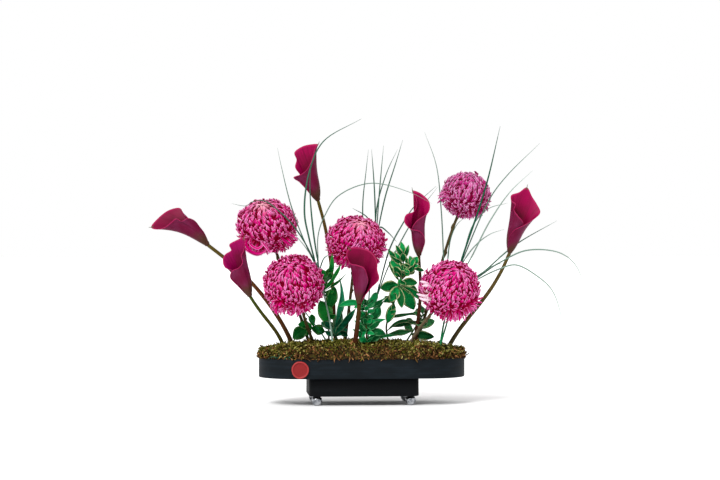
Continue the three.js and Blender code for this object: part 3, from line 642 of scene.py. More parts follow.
def flowing(points: Route | np.ndarray, count: int) -> np.ndarray:
    """Draws a smooth line through points, evenly spaced along it.

    Args:
        points: The points that the line passes, at least two.
        count: How many points to return.

    Returns:
        An array of count points, on a centripetal Catmull-Rom line.
    """
    given = np.asarray(points, float)
    ends = np.vstack([2 * given[0] - given[1], given, 2 * given[-1] - given[-2]])
    pace = np.maximum(np.sqrt(np.linalg.norm(np.diff(ends, axis=0), axis=1)), 1e-6)
    fine: list[np.ndarray] = []
    for i in range(len(given) - 1):
        p0, p1, p2, p3 = ends[i : i + 4]
        d0, d1, d2 = pace[i : i + 3]
        start = ((p1 - p0) / d0 - (p2 - p0) / (d0 + d1) + (p2 - p1) / d1) * d1
        end = ((p2 - p1) / d1 - (p3 - p1) / (d1 + d2) + (p3 - p2) / d2) * d1
        t = np.linspace(0, 1, 24, endpoint=False)[:, None]
        square, cube = t**2, t**3
        fine.append(
            (2 * cube - 3 * square + 1) * p1
            + (cube - 2 * square + t) * start
            + (3 * square - 2 * cube) * p2
            + (cube - square) * end
        )
    line = np.vstack([*fine, given[-1:]])
    length = np.concatenate([[0], np.cumsum(np.linalg.norm(np.diff(line, axis=0), axis=1))])
    wanted = np.linspace(0, length[-1], count)
    return np.stack([np.interp(wanted, length, line[:, axis]) for axis in range(3)], axis=1)


def carried_frames(line: np.ndarray, face: np.ndarray = FRONT) -> tuple[np.ndarray, np.ndarray]:
    """Finds, along a line, the direction that looks towards a face and the one beside it.

    Args:
        line: Points along the line.
        face: The direction that a ribbon on this line looks in.

    Returns:
        The side and the outward directions at each point.
    """
    tangent = unit(np.gradient(line, axis=0))
    out = unit(face - tangent * (tangent @ face)[:, None])
    return np.cross(tangent, out), out


@dataclass
class Skin:
    """Gathers surfaces into one mesh, each point marked for its material."""

    corners: list[np.ndarray] = field(default_factory=list)
    faces: list[list[int]] = field(default_factory=list)
    marks: dict[str, list[np.ndarray]] = field(default_factory=dict)
    count: int = 0

    MARKS: ClassVar[tuple[str, ...]] = ("along", "across", "outer", "tone", "heart", "tail")

    def add(self, corners: np.ndarray, faces: list[list[int]], marks: dict[str, Any]) -> None:
        """Adds points and the faces between them.

        Args:
            corners: The points, in millimetres.
            faces: Each face's points, numbered from this surface's first one.
            marks: A number, or one for each point, under each name in MARKS that isn't 0.
        """
        self.corners.append(corners)
        self.faces.extend([[index + self.count for index in face] for face in faces])
        for name in self.MARKS:
            values = np.broadcast_to(np.asarray(marks.get(name, 0.0), float), (len(corners),))
            self.marks.setdefault(name, []).append(values)
        self.count += len(corners)

    @staticmethod
    def grid_faces(rows: int, columns: int, wrap: bool = False) -> list[list[int]]:
        """Joins a grid of points by faces.

        Args:
            rows: How many rows it has.
            columns: How many points are in a row.
            wrap: Whether each row is a ring, joined to itself.

        Returns:
            The faces, each as four point numbers.
        """
        faces = []
        for row in range(rows - 1):
            for column in range(columns if wrap else columns - 1):
                right = (column + 1) % columns
                here, above = row * columns, (row + 1) * columns
                faces.append([here + column, here + right, above + right, above + column])
        return faces

    def rings(self, rings: np.ndarray, marks: dict[str, Any]) -> None:
        """Adds a stack of rings, each joined to the next, with a face over either end.

        Args:
            rings: The points, as rings of points from foot to head.
            marks: As for add.
        """
        rows, around, _ = rings.shape
        caps = [list(range(around))[::-1], list(range((rows - 1) * around, rows * around))]
        self.add(rings.reshape(-1, 3), self.grid_faces(rows, around, wrap=True) + caps, marks)

    def sheet(self, grid: np.ndarray, thickness: float | np.ndarray, marks: dict[str, Any]) -> None:
        """Adds a thin closed sheet.

        Args:
            grid: Points in rows (along) and columns (across).
            thickness: Its thickness, or one for each row.
            marks: As for add, with one number for the sheet or one for each point of the grid.
        """
        rows, columns, _ = grid.shape
        normal = unit(np.cross(np.gradient(grid, axis=1), np.gradient(grid, axis=0)))
        half = np.broadcast_to(np.asarray(thickness, float) / 2, (rows,))[:, None, None]
        faces = self.grid_faces(rows, columns)
        total = rows * columns
        back = [[index + total for index in reversed(face)] for face in faces]
        edge = [*range(columns)]
        edge += [row * columns + columns - 1 for row in range(1, rows)]
        edge += [(rows - 1) * columns + column for column in range(columns - 2, -1, -1)]
        edge += [row * columns for row in range(rows - 2, 0, -1)]
        rim = [[b, a, a + total, b + total] for a, b in zip(edge, edge[1:] + edge[:1])]
        corners = np.vstack([(grid + normal * half).reshape(-1, 3), (grid - normal * half).reshape(-1, 3)])
        along, across = np.meshgrid(np.linspace(0, 1, rows), np.linspace(0, 1, columns), indexing="ij")
        own = {"along": np.tile(along.ravel(), 2), "across": np.tile(across.ravel(), 2)}
        own["outer"] = np.repeat([1.0, 0.0], total)
        for name, value in marks.items():
            spread = np.asarray(value, float)
            own[name] = spread if spread.ndim == 0 else np.tile(spread.ravel(), 2)
        self.add(corners, faces + back + rim, own)

    def strand(
        self, line: np.ndarray, half_width: np.ndarray, face: np.ndarray, marks: dict[str, Any]
    ) -> None:
        """Adds a keeled three-sided strand.

        Args:
            line: Points along it.
            half_width: Half its width at each point.
            face: The direction that its keel looks in.
            marks: As for add.
        """
        side, out = carried_frames(line, face)
        width = half_width[:, None]
        ring = np.stack([line - side * width, line + out * width * 0.55, line + side * width], axis=1)
        rows = len(line)
        faces = self.grid_faces(rows, 3, wrap=True) + [[0, 2, 1], [rows * 3 - 3, rows * 3 - 2, rows * 3 - 1]]
        along = np.repeat(np.linspace(0, 1, rows), 3)
        own = {"along": along, "across": np.tile([0.0, 0.5, 1.0], rows)}
        self.add(ring.reshape(-1, 3), faces, own | marks)

    def tube(self, line: np.ndarray, radii: np.ndarray, sides: int, marks: dict[str, Any]) -> None:
        """Adds a round closed tube.

        Args:
            line: Points along it.
            radii: Its radius at each point, or at each point and side.
            sides: How many sides it has.
            marks: As for add.
        """
        side, out = carried_frames(line)
        turn = -np.linspace(0, 2 * math.pi, sides, endpoint=False)
        rows = len(line)
        radii = np.broadcast_to(radii if np.ndim(radii) == 2 else np.asarray(radii)[:, None], (rows, sides))
        reach = side[:, None] * np.cos(turn)[:, None] + out[:, None] * np.sin(turn)[:, None]
        ring = line[:, None] + reach * radii[..., None]
        along = np.repeat(np.linspace(0, 1, rows), sides)
        own = {"along": along, "across": np.tile(np.abs(np.linspace(-1, 1, sides)), rows)}
        self.rings(ring, own | marks)

    def piece(self, name: str, finish: Finish, sharp: float | None = None) -> bpy.types.Object:
        """Makes the gathered surfaces one object.

        Args:
            name: The object's name.
            finish: What its material is made of.
            sharp: The angle in degrees above which an edge stays sharp; None smooths them all.

        Returns:
            The new object, riding on the arrangement's root.
        """
        mesh = bpy.data.meshes.new(name)
        corners = np.vstack(self.corners) / METRE
        mesh.from_pydata(corners.tolist(), [], self.faces)
        for mark, values in self.marks.items():
            joined = np.concatenate(values).astype(np.float32)
            if joined.any():
                mesh.attributes.new(mark, "FLOAT", "POINT").data.foreach_set("value", joined)
        mesh.materials.append(finish.material())
        mesh.shade_smooth()
        if sharp is not None:
            mesh.set_sharp_from_angle(angle=math.radians(sharp))
        piece = bpy.data.objects.new(name, mesh)
        bpy.context.scene.collection.objects.link(piece)
        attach(piece, "root")
        LOG.info("%s: %d faces", name, len(self.faces))
        return piece


def stand_for(piece: bpy.types.Object, slot: str, *nodes: str) -> None:
    """Lets a piece take the place of CAD nodes, which it hides."""
    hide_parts(*nodes)


def node_box(node: str) -> tuple[np.ndarray, np.ndarray]:
    """Returns a node's lowest and highest corner, in millimetres."""
    low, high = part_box(node)
    return np.array(low) * METRE, np.array(high) * METRE


# ------------------------------------------------------------------------------- bowl and pedestal


def rounded_outline(length: float, depth: float, radius: float, steps: int) -> tuple[np.ndarray, np.ndarray]:
    """Walks round a rectangle with round corners.

    Args:
        length: Its size along X.
        depth: Its size along Y.
        radius: The corners' radius.
        steps: Points in each corner.

    Returns:
        The points in the plane and the outward direction at each.
    """
    points, normals = [], []
    middle = (length / 2 - radius, depth / 2 - radius)
    for quarter, (x, y) in enumerate(((1, 1), (-1, 1), (-1, -1), (1, -1))):
        for angle in np.linspace(quarter, quarter + 1, steps) * math.pi / 2:
            way = np.array([math.cos(angle), math.sin(angle)])
            points.append(np.array([x * middle[0], y * middle[1]]) + radius * way)
            normals.append(way)
    return np.array(points), np.array(normals)


@dataclass
class Vessel:
    """The stadium bowl, the pedestal under it, the ball feet and the round seal."""

    wall: float = 4.0
    floor: float = 4.0
    corner: float = 14.0
    easing: float = 1.2
    ball: float = 9.7
    ball_height: float = 9.3
    ball_rows: int = 18
    collar_easing: float = 0.4
    foot_sides: int = 36
    seal_turn: float = math.radians(4.04)
    seal_rise: float = 4.0
    seal_sides: int = 72
    outline_steps: int = 28

    SEAL_PROFILE: ClassVar[Sequence[tuple[float, float]]] = (  # shares of its radius and of its rise
        (0.6, 0), (0.97, 0.02), (1.0, 0.2), (1.0, 0.6), (0.985, 0.85), (0.94, 0.98), (0.89, 1.0),
        (0.84, 0.93), (0.8, 0.72), (0.775, 0.58), (0.74, 0.53), (0.5, 0.54), (0.25, 0.55), (0.02, 0.55),
    )
    BOWL: ClassVar[CastFinish] = CastFinish("bowl", srgb(10, 16, 20), srgb(20, 28, 34), 900.0, 0.5)
    PEDESTAL: ClassVar[CastFinish] = CastFinish("pedestal", srgb(5, 7, 10), srgb(11, 14, 17), 500.0, 0.5)
    COLLAR: ClassVar[CastFinish] = CastFinish("collar", srgb(7, 8, 9), srgb(15, 16, 18), 200.0, 0.5)

    def swept(
        self, skin: Skin, size: tuple[float, float, float], profile: Sequence[tuple[float, float]]
    ) -> None:
        """Sweeps a closed or capped profile round an outline.

        Args:
            skin: The skin that takes it.
            size: Length, depth and corner radius of the outline.
            profile: How far inside the outline each ring lies, and its height.
        """
        points, normals = rounded_outline(*size, self.outline_steps)
        rings = [np.column_stack([points - normals * inset, np.full(len(points), z)]) for inset, z in profile]
        skin.rings(np.array(rings), {})

    def bowl(self) -> None:
        """Builds the bowl's shell."""
        low, high = node_box("bowl")
        length, depth = high[0] - low[0], high[1] - low[1]
        ease = self.easing
        profile = [
            (ease * 2, low[2]), (ease * 0.6, low[2] + 0.25), (0.2, low[2] + ease), (0, low[2] + ease * 2),
            (0, high[2] - ease), (ease * 0.3, high[2] - ease * 0.3), (ease, high[2]),
            (self.wall - ease, high[2]), (self.wall - ease * 0.3, high[2] - ease * 0.3),
            (self.wall, high[2] - ease), (self.wall, low[2] + self.floor),
        ]
        skin = Skin()
        self.swept(skin, (length, depth, depth / 2), profile)
        stand_for(skin.piece("bowl_shell", self.BOWL, sharp=35), "bowl", "bowl")

    def pedestal(self) -> None:
        """Builds the pedestal block."""
        low, high = node_box("pedestal")
        ease = self.easing
        profile = [
            (ease * 2, low[2]), (ease * 0.5, low[2] + 0.3), (0, low[2] + ease), (0, high[2] - ease),
            (ease * 0.5, high[2] - 0.3), (ease * 2, high[2]),
        ]
        skin = Skin()
        self.swept(skin, (high[0] - low[0], high[1] - low[1], self.corner), profile)
        stand_for(skin.piece("pedestal_block", self.PEDESTAL, sharp=35), "pedestal", "pedestal")

    def turned(self, skin: Skin, spot: np.ndarray, profile: np.ndarray) -> None:
        """Turns a profile about an upright line.

        Args:
            skin: The skin that takes it.
            spot: Where the line meets the ground.
            profile: Radius and height of each ring.
        """
        line = np.array([spot + [0, 0, height] for _, height in profile])
        turn = np.linspace(0, 2 * math.pi, self.foot_sides, endpoint=False)
        ring = np.column_stack([np.cos(turn), np.sin(turn), np.zeros(self.foot_sides)])
        skin.rings(line[:, None] + ring * profile[:, 0][:, None, None], {})

    def feet(self) -> None:
        """Builds the four balls and the collars that hold them."""
        balls, collars = Skin(), Skin()
        for number in range(1, 5):
            low, high = node_box(f"foot_ball_{number}")
            radius, middle = self.ball, self.ball_height
            spot = (low + high) / 2 * [1, 1, 0]
            first, last = (math.asin((level - middle) / radius) for level in (low[2], high[2]))
            angles = np.linspace(first, last, self.ball_rows)
            profile = np.column_stack([radius * np.cos(angles), middle + radius * np.sin(angles)])
            self.turned(balls, spot, profile)
            low, high = node_box(f"foot_collar_{number}")
            radius, ease = (high[1] - low[1]) / 2, self.collar_easing
            profile = np.array([(radius - ease, low[2]), (radius, low[2] + ease), (radius, high[2])])
            self.turned(collars, spot, profile)
        nodes = [f"foot_ball_{n}" for n in range(1, 5)]
        stand_for(balls.piece("foot_balls", ChromeFinish(), sharp=50), "foot_ball", *nodes)
        nodes = [f"foot_collar_{n}" for n in range(1, 5)]
        stand_for(collars.piece("foot_collars", self.COLLAR, sharp=40), "foot_collar", *nodes)

    def seal(self) -> None:
        """Builds the seal: an uneven raised rim round a plain dish."""
        low, high = node_box("seal")
        radius, rise, sides = (high[2] - low[2]) / 2, self.seal_rise, self.seal_sides
        out = np.array([-math.sin(self.seal_turn), -math.cos(self.seal_turn), 0.0])
        beside = np.array([math.cos(self.seal_turn), -math.sin(self.seal_turn), 0.0])
        back = (low + high) / 2 - out * rise / 2
        turn = np.linspace(0, 2 * math.pi, sides, endpoint=False)
        wobble = 0.985 + 0.012 * np.sin(turn * 3 + 1) + 0.006 * np.sin(turn * 7)
        way = np.cos(turn)[:, None] * beside + np.sin(turn)[:, None] * UP
        rings, marks = [], []
        for share, lift in self.SEAL_PROFILE:
            reach = radius * share * (wobble if share > 0.7 else np.ones(sides))
            stand = rise * lift * (1 - 0.04 * np.sin(turn * 4 + 2))
            rings.append(back + way * reach[:, None] + out * stand[:, None])
            # the share of painted highlight, by how far each ring stands up
            marks.append(np.full(sides, max(0.0, min(1.0, (lift - 0.5) * 2)) if share < 0.99 else 0.8))
        skin = Skin()
        skin.rings(np.array(rings), {"along": np.concatenate(marks)})
        stand_for(skin.piece("seal_disc", SealFinish(), sharp=60), "seal", "seal")

    def build(self, nodes: dict[str, bpy.types.Object]) -> None:
        """Builds all of it and finishes the foam that stays as it is.

        Args:
            nodes: The CAD nodes by name.
        """
        self.bowl()
        self.pedestal()
        self.feet()
        self.seal()
        dress_node(nodes["foam"], FoamFinish())


def dress_node(node: bpy.types.Object, finish: Finish) -> None:
    """Gives a CAD node that stays as it is a better material.

    Args:
        node: The node's object.
        finish: What it is finished in.
    """
    node.data.materials.clear()
    node.data.materials.append(finish.material())
    LOG.info("%s: kept", node.name)


# ------------------------------------------------------------------------------- moss


@dataclass
class MossCarpet:
    """Thousands of short curled strands on the moss bed, browner and looser at its rim."""

    strands: int = 7800
    rim_strands: int = 5200
    length: float = 11.0
    width: float = 1.3
    joints: int = 6
    seed: int = 7
    margin: float = 3.0
    rim_steps: int = 40
    lowest: float = 0.0868  # metres; what lies under it is left to the rim strands
    above: float = 0.2  # metres; the level that the bed is looked for from
    frilled: tuple[float, float] = (-172.0, -132.0)  # from where to where along the bowl's front

    def build(self, bed: bpy.types.Object) -> None:
        """Grows the strands on the bed.

        Args:
            bed: The CAD node of the moss.
        """
        dress_node(bed, MossBedFinish())
        tree = BVHTree.FromObject(bed, bpy.context.evaluated_depsgraph_get())
        low, high = node_box("moss")
        chance = np.random.default_rng(self.seed)
        halves = {"left": Skin(), "right": Skin()}
        placed = 0
        while placed < self.strands:
            x, y = chance.uniform(low[:2], high[:2])
            hit = tree.ray_cast(Vector((x / METRE, y / METRE, self.above)), Vector((0, 0, -1)))
            if hit[0] is None or hit[0].z < self.lowest:
                continue
            edge = self.edge_share(x, y, high)
            half = halves["left" if x < 0 else "right"]
            self.strand(half, np.array(hit[0]) * METRE, np.array(hit[1]), edge, chance)
            placed += 1
        for side, half in halves.items():
            half.piece(f"moss_strands_{side}", MossFinish(f"moss_{side}"))
        fringe = Skin()
        size = high[:2] - low[:2] - 2 * self.margin
        edge_line = rounded_outline(size[0], size[1], high[1] - self.margin, self.rim_steps)
        for _ in range(self.rim_strands):
            self.rim_strand(fringe, edge_line, low, high, chance)
        fringe.piece("moss_fringe", MossFinish("moss_fringe"))

    @staticmethod
    def edge_share(x: float, y: float, high: np.ndarray) -> float:
        """Finds how near a place lies to the rim.

        Args:
            x: The place along the bowl.
            y: The place across it.
            high: The bed's highest corner.

        Returns:
            0 on the middle line, up to 1 at the rim.
        """
        radius = high[1]
        beyond = max(abs(x) - (high[0] - radius), 0.0)
        return min(1.0, math.hypot(beyond, y) / radius)

    def curl(self, foot: np.ndarray, way: np.ndarray, chance: Chance, length: float) -> np.ndarray:
        """Bends one strand into part of a ring.

        Args:
            foot: Where it starts.
            way: The direction that it starts in.
            chance: The carpet's draws.
            length: How long it is.

        Returns:
            The points along it.
        """
        bend = chance.uniform(0.6, 3.4)
        beside = unit(np.cross(way, unit(chance.normal(0, 1, 3))))
        beside = beside - UP * 0.35
        t = np.linspace(0, 1, self.joints)[:, None]
        return foot + length * (way * np.sin(bend * t) + beside * (1 - np.cos(bend * t))) / bend

    def taper(self, chance: Chance) -> np.ndarray:
        """Returns half of a strand's width at each joint."""
        share = np.linspace(0, 1, self.joints)
        return self.width * chance.uniform(0.5, 1.3) * np.interp(share, [0, 0.3, 0.75, 1], [0.8, 1, 0.9, 0.3])

    def strand(
        self, skin: Skin, foot: np.ndarray, normal: np.ndarray, edge: float, chance: Chance
    ) -> None:
        """Grows one curled strand from a place on the bed.

        Args:
            skin: The skin that takes it.
            foot: The place.
            normal: The bed's outward direction there.
            edge: How near it lies to the rim, from 0 to 1.
            chance: The carpet's draws.
        """
        way = unit(normal * chance.uniform(0.1, 0.9) + chance.normal(0, 0.7, 3) * [1, 1, 0.4])
        ripple = math.sin(foot[0] * 0.34 + 2 * math.sin(foot[1] * 0.21))
        tuft = 0.5 + 0.5 * ripple * math.sin(foot[1] * 0.4 + foot[0] * 0.07)
        start = foot - normal * 0.6 + UP * (4.5 * tuft * (1 - edge) ** 0.5 - 1.0)
        line = self.curl(start, way, chance, self.length * chance.uniform(0.5, 1.2))
        clump = 0.5 + 0.3 * math.sin(foot[0] * 0.09 + 1) + 0.3 * math.sin(foot[1] * 0.13 + foot[0] * 0.06)
        green = 0.86 + 0.8 * (clump - 0.5) - max(0.0, edge - 0.72) * chance.uniform(1.5, 5.5)
        green -= 0.6 * (chance.uniform() < 0.14)
        # tone is partly random and partly painted shade: strands low between the raised tufts come out darker
        marks = {"tone": min(1.0, chance.uniform() * 0.8 + (tuft - 0.45) * 0.8), "heart": green}
        skin.strand(line, self.taper(chance), unit(chance.normal(0, 1, 3)), marks)

    def rim_strand(
        self,
        skin: Skin,
        edge_line: tuple[np.ndarray, np.ndarray],
        low: np.ndarray,
        high: np.ndarray,
        chance: Chance,
    ) -> None:
        """Grows one strand on the steep edge of the mat, over the bowl's rim.

        Args:
            skin: The skin that takes it.
            edge_line: Points round the mat's edge and the outward direction at each.
            low: The mat's lowest corner.
            high: The mat's highest corner.
            chance: The carpet's draws.
        """
        points, normals = edge_line
        spot = int(chance.integers(len(points)))
        place = points[spot] + np.array([-normals[spot][1], normals[spot][0]]) * chance.uniform(-5, 5)
        out = np.array([normals[spot][0], normals[spot][1], 0.0])
        if chance.uniform() < 0.55:
            sign = -math.copysign(1, chance.uniform() - 0.35)
            place = np.array([
                chance.uniform(low[0] + high[1], high[0] - high[1]), sign * (high[1] - self.margin)
            ])
            out = np.array([0.0, sign, 0.0])
        lift = chance.uniform(0.5, 17.5)
        inset = chance.uniform(0.6, 3.0) + 4.5 * (lift / 18) ** 3
        foot = np.array([place[0], place[1], low[2] + lift]) - out * inset
        way = out * chance.uniform(0.0, 0.55) + chance.normal(0, 0.6, 3)
        way = unit(way + UP * chance.uniform(-0.3, 0.5))
        line = self.curl(foot, way, chance, self.length * chance.uniform(0.4, 0.85))
        line[:, 2] = np.maximum(line[:, 2], low[2] - 0.5)
        first, last = self.frilled
        frill = place[1] < 0 and first < place[0] < last and chance.uniform() < 0.4 and lift < 6
        heart = chance.uniform(-0.45, 0.5) + 0.04 * lift
        marks = {"tone": chance.uniform() ** 1.15, "heart": heart, "tail": float(frill)}
        skin.strand(line, self.taper(chance), unit(chance.normal(0, 1, 3)), marks)


# ------------------------------------------------------------------------------- stems


@dataclass
class Stem:
    """A stem that follows its CAD node's own rings of points."""

    name: str
    slot: str
    finish: StemFinish
    rings: int = 8
    knobs: int = 0
    girth: float = 1.04
    steps: int = 64
    sides: int = 14
    knob_spread: float = 0.00012  # as a squared share of the stem's length
    knob_height: float = 1.1  # as a share of its radius there

    def centres(self) -> tuple[np.ndarray, np.ndarray]:
        """Finds the node's rings of points, from foot to head.

        Returns:
            The middle and the radius of each ring.
        """
        corners = np.array([v.co for v in bpy.data.objects[self.name].data.vertices]) * METRE
        corners = np.unique(np.round(corners, 3), axis=0)
        middle = corners.mean(axis=0)
        main = np.linalg.svd(corners - middle)[2][0]
        main = main * math.copysign(1, main[2])
        order = np.argsort((corners - middle) @ main)
        along = ((corners - middle) @ main)[order]
        cuts = np.sort(np.argsort(np.diff(along))[-(self.rings - 1) :]) + 1
        groups = np.split(corners[order], cuts)
        centres = np.array([group.mean(axis=0) for group in groups])
        radii = [np.linalg.norm(group - centre, axis=1).max() for group, centre in zip(groups, centres)]
        return centres, np.array(radii)

    def build(self) -> None:
        """Builds the smooth stem."""
        centres, radii = self.centres()
        for _ in range(2):
            centres[1:-1] = centres[1:-1] * 0.5 + (centres[:-2] + centres[2:]) * 0.25
        line = flowing(centres, self.steps)
        share = np.linspace(0, 1, self.steps)
        radius = np.interp(share, np.linspace(0, 1, len(radii)), radii) * self.girth
        turn = np.linspace(0, 2 * math.pi, self.sides, endpoint=False)
        ribs = 1 + 0.03 * np.sin(turn * 3 + 1)[None] + 0.02 * np.sin(share * 40)[:, None]
        for knob in range(self.knobs):
            height = (knob + 0.3 + 0.5 * draw(knob)) / self.knobs
            angle = draw(knob + 0.5) * 2 * math.pi
            near = np.exp(-((share - height) ** 2) / self.knob_spread)[:, None]
            ribs = ribs + near * np.exp(2 * (np.cos(turn - angle) - 1))[None] * self.knob_height
        skin = Skin()
        skin.tube(line, radius[:, None] * ribs, self.sides, {"tone": draw(len(self.name))})
        stand_for(skin.piece(f"{self.name}_skin", self.finish, sharp=60), self.slot, self.name)


# ------------------------------------------------------------------------------- callas


@dataclass
class Calla:
    """A spathe rolled round its middle line, the spadix inside it and the stem under it."""

    name: str
    axis: Route
    rim: Route
    tail_point: int
    bark: StemFinish
    finish: SpatheFinish = SpatheFinish()
    throat: float = 2.7
    wrap: float = 1.9
    belly: float = 11.5
    shoulder: float = 0.5
    swell: float = 0.7
    flare: float = 3.0
    thickness: float = 1.1
    columns: int = 110
    rows: int = 34
    lip: float = 1.5
    spadix_radius: float = 2.7
    spadix_length: float = 36.0
    spadix_start: float = 7.3

    FOOT: ClassVar[Sequence[tuple[float, float]]] = (  # distance up from the middle line's start, and radius
        (-2.6, 2.6), (-2.2, 3.6), (-1.2, 4.5), (0.0, 4.9), (1.5, 5.2), (3.5, 5.3), (6.0, 4.8), (8.0, 2.5),
    )
    FURTHEST: ClassVar[float] = 1.4  # the largest share of the middle line that a rim point is sought at
    SAMPLES: ClassVar[int] = 281  # the shares that are tried up to there
    EVENING: ClassVar[int] = 3  # neighbours on either side that even out a share

    def middle(self, share: np.ndarray | float) -> np.ndarray:
        """Finds points on the bent middle line, which runs on straight past its end.

        Args:
            share: How far along it each point lies, from 0 to 1, or more past its end.

        Returns:
            The points.
        """
        t = np.asarray(share, float)[..., None]
        a, b, c = (np.array(p, float) for p in self.axis)
        inside = np.minimum(t, 1.0)
        bent = (1 - inside) ** 2 * a + 2 * (1 - inside) * inside * b + inside**2 * c
        return bent + np.maximum(t - 1, 0) * 2 * (c - b)

    def rolled(self, height: np.ndarray) -> np.ndarray:
        """Returns the rolled body's radius at a height."""
        rise = np.sin(math.pi / 2 * np.minimum(1, height / self.shoulder)) ** self.swell
        return self.throat + (self.belly - self.throat) * rise

    def heights(self, rim: np.ndarray) -> np.ndarray:
        """Finds how far along the middle line each point of the rim lies.

        Args:
            rim: The points.

        Returns:
            Their places as middle takes them, evened out along the rim.
        """
        samples = np.linspace(0, self.FURTHEST, self.SAMPLES)
        reach = np.linalg.norm(rim[:, None] - self.middle(samples)[None], axis=2)
        nearest = np.pad(samples[reach.argmin(axis=1)], self.EVENING, mode="edge")
        window = 2 * self.EVENING + 1
        return np.convolve(nearest, np.ones(window) / window, mode="valid")

    def spathe(self) -> None:
        """Builds the spathe as one smooth sheet."""
        rim = flowing(self.rim, self.columns)
        height = self.heights(rim)
        radial = rim - self.middle(height)
        far = np.linalg.norm(radial, axis=1)
        out = radial / far[:, None]
        extra = self.wrap * (1 - np.linspace(0, 1, self.columns))
        t = np.linspace(0, 1, self.rows)[:, None]
        radius = self.rolled(height[None] * t) + extra * (0.35 + 0.65 * t)
        radius = radius + (far[None] - radius) * t**self.flare
        grid = self.middle(height[None] * t) + out[None] * radius[..., None]
        lip = self.lip * np.exp(-(((t - 0.9) / 0.06) ** 2))
        grid = self.softened(grid) + unit(self.middle(1.0) - self.middle(0.9)) * lip[..., None]
        facing = np.cross(np.gradient(grid, axis=1), np.gradient(grid, axis=0))
        if (facing * out[None]).sum() < 0:
            grid = grid[:, ::-1]
        tail = np.array(self.rim, float)[self.tail_point]
        near = np.exp(-np.linalg.norm(grid - tail, axis=2) / 9)
        skin = Skin()
        skin.sheet(grid, self.thickness * np.linspace(1.2, 0.8, self.rows), {"tone": 0.0, "tail": near})
        self.tail(skin, tail)
        self.foot(skin)
        piece = skin.piece(f"{self.name}_spathe_skin", self.finish)
        stand_for(piece, "spathe", f"{self.name}_spathe")

    def foot(self, skin: Skin) -> None:
        """Adds the blunt swelling that joins the spathe to its stem.

        Args:
            skin: The spathe's skin.
        """
        way = unit(self.middle(0.02) - self.middle(0.0))
        reach, radii = np.array(self.FOOT).T
        line = self.middle(0.0) + way * reach[:, None]
        skin.tube(line, radii, 18, {"along": 0.0, "outer": 1.0})

    @staticmethod
    def softened(grid: np.ndarray) -> np.ndarray:
        """Evens the sheet out between its rim, its foot and its free edges.

        Args:
            grid: The sheet's points.

        Returns:
            The evened points.
        """
        soft = grid.copy()
        for _ in range(6):
            inner = (soft[1:-1, :-2] + soft[1:-1, 2:] + soft[:-2, 1:-1] + soft[2:, 1:-1]) / 4
            soft[1:-1, 1:-1] = soft[1:-1, 1:-1] * 0.5 + inner * 0.5
        return soft

    def tail(self, skin: Skin, tip: np.ndarray) -> None:
        """Adds the thread that the spathe ends in.

        Args:
            skin: The spathe's skin.
            tip: The point of the rim that it grows from.
        """
        way = unit(tip - self.middle(0.9))
        line = flowing([tip - way * 5, tip, tip + way * 5 + UP], 10)
        skin.strand(line, np.linspace(1.1, 0.3, 10), FRONT, {"tail": 1.0, "outer": 1.0})

    def spadix(self) -> None:
        """Builds the spadix, a grainy spike."""
        low, high = node_box(f"{self.name}_spadix")
        foot = self.middle(0.0)
        way = unit(self.middle(0.02) - foot)
        span = float(np.linalg.norm(high - low))
        start = foot + way * self.spadix_start
        share = np.linspace(0, 1, 30)
        radius = self.spadix_radius * np.sqrt(np.clip(1 - (1.96 * share - 0.98) ** 4, 0.01, 1))
        turn = np.linspace(0, 2 * math.pi, 16, endpoint=False)
        beads = 1 + 0.07 * np.sin(turn * 8)[None] * np.sin(share * 80)[:, None]
        skin = Skin()
        line = start + way * (share * min(span, self.spadix_length))[:, None]
        skin.tube(line, radius[:, None] * beads, 16, {})
        stand_for(skin.piece(f"{self.name}_spadix_skin", SpadixFinish()), "spadix", f"{self.name}_spadix")

    def build(self) -> None:
        """Builds the whole flower."""
        self.spathe()
        self.spadix()
        Stem(f"{self.name}_stem", "calla_stem", self.bark).build()


# ------------------------------------------------------------------------------- chrysanthemums


WOODY_STEM = StemFinish(
    "woody_stem", srgb(58, 44, 22), srgb(62, 52, 26), srgb(76, 66, 38), srgb(30, 22, 10), roughness=0.6
)
GREY_STEM = StemFinish(
    "grey_stem", srgb(104, 90, 76), srgb(98, 84, 66), srgb(84, 72, 46), srgb(56, 46, 34), roughness=0.7
)


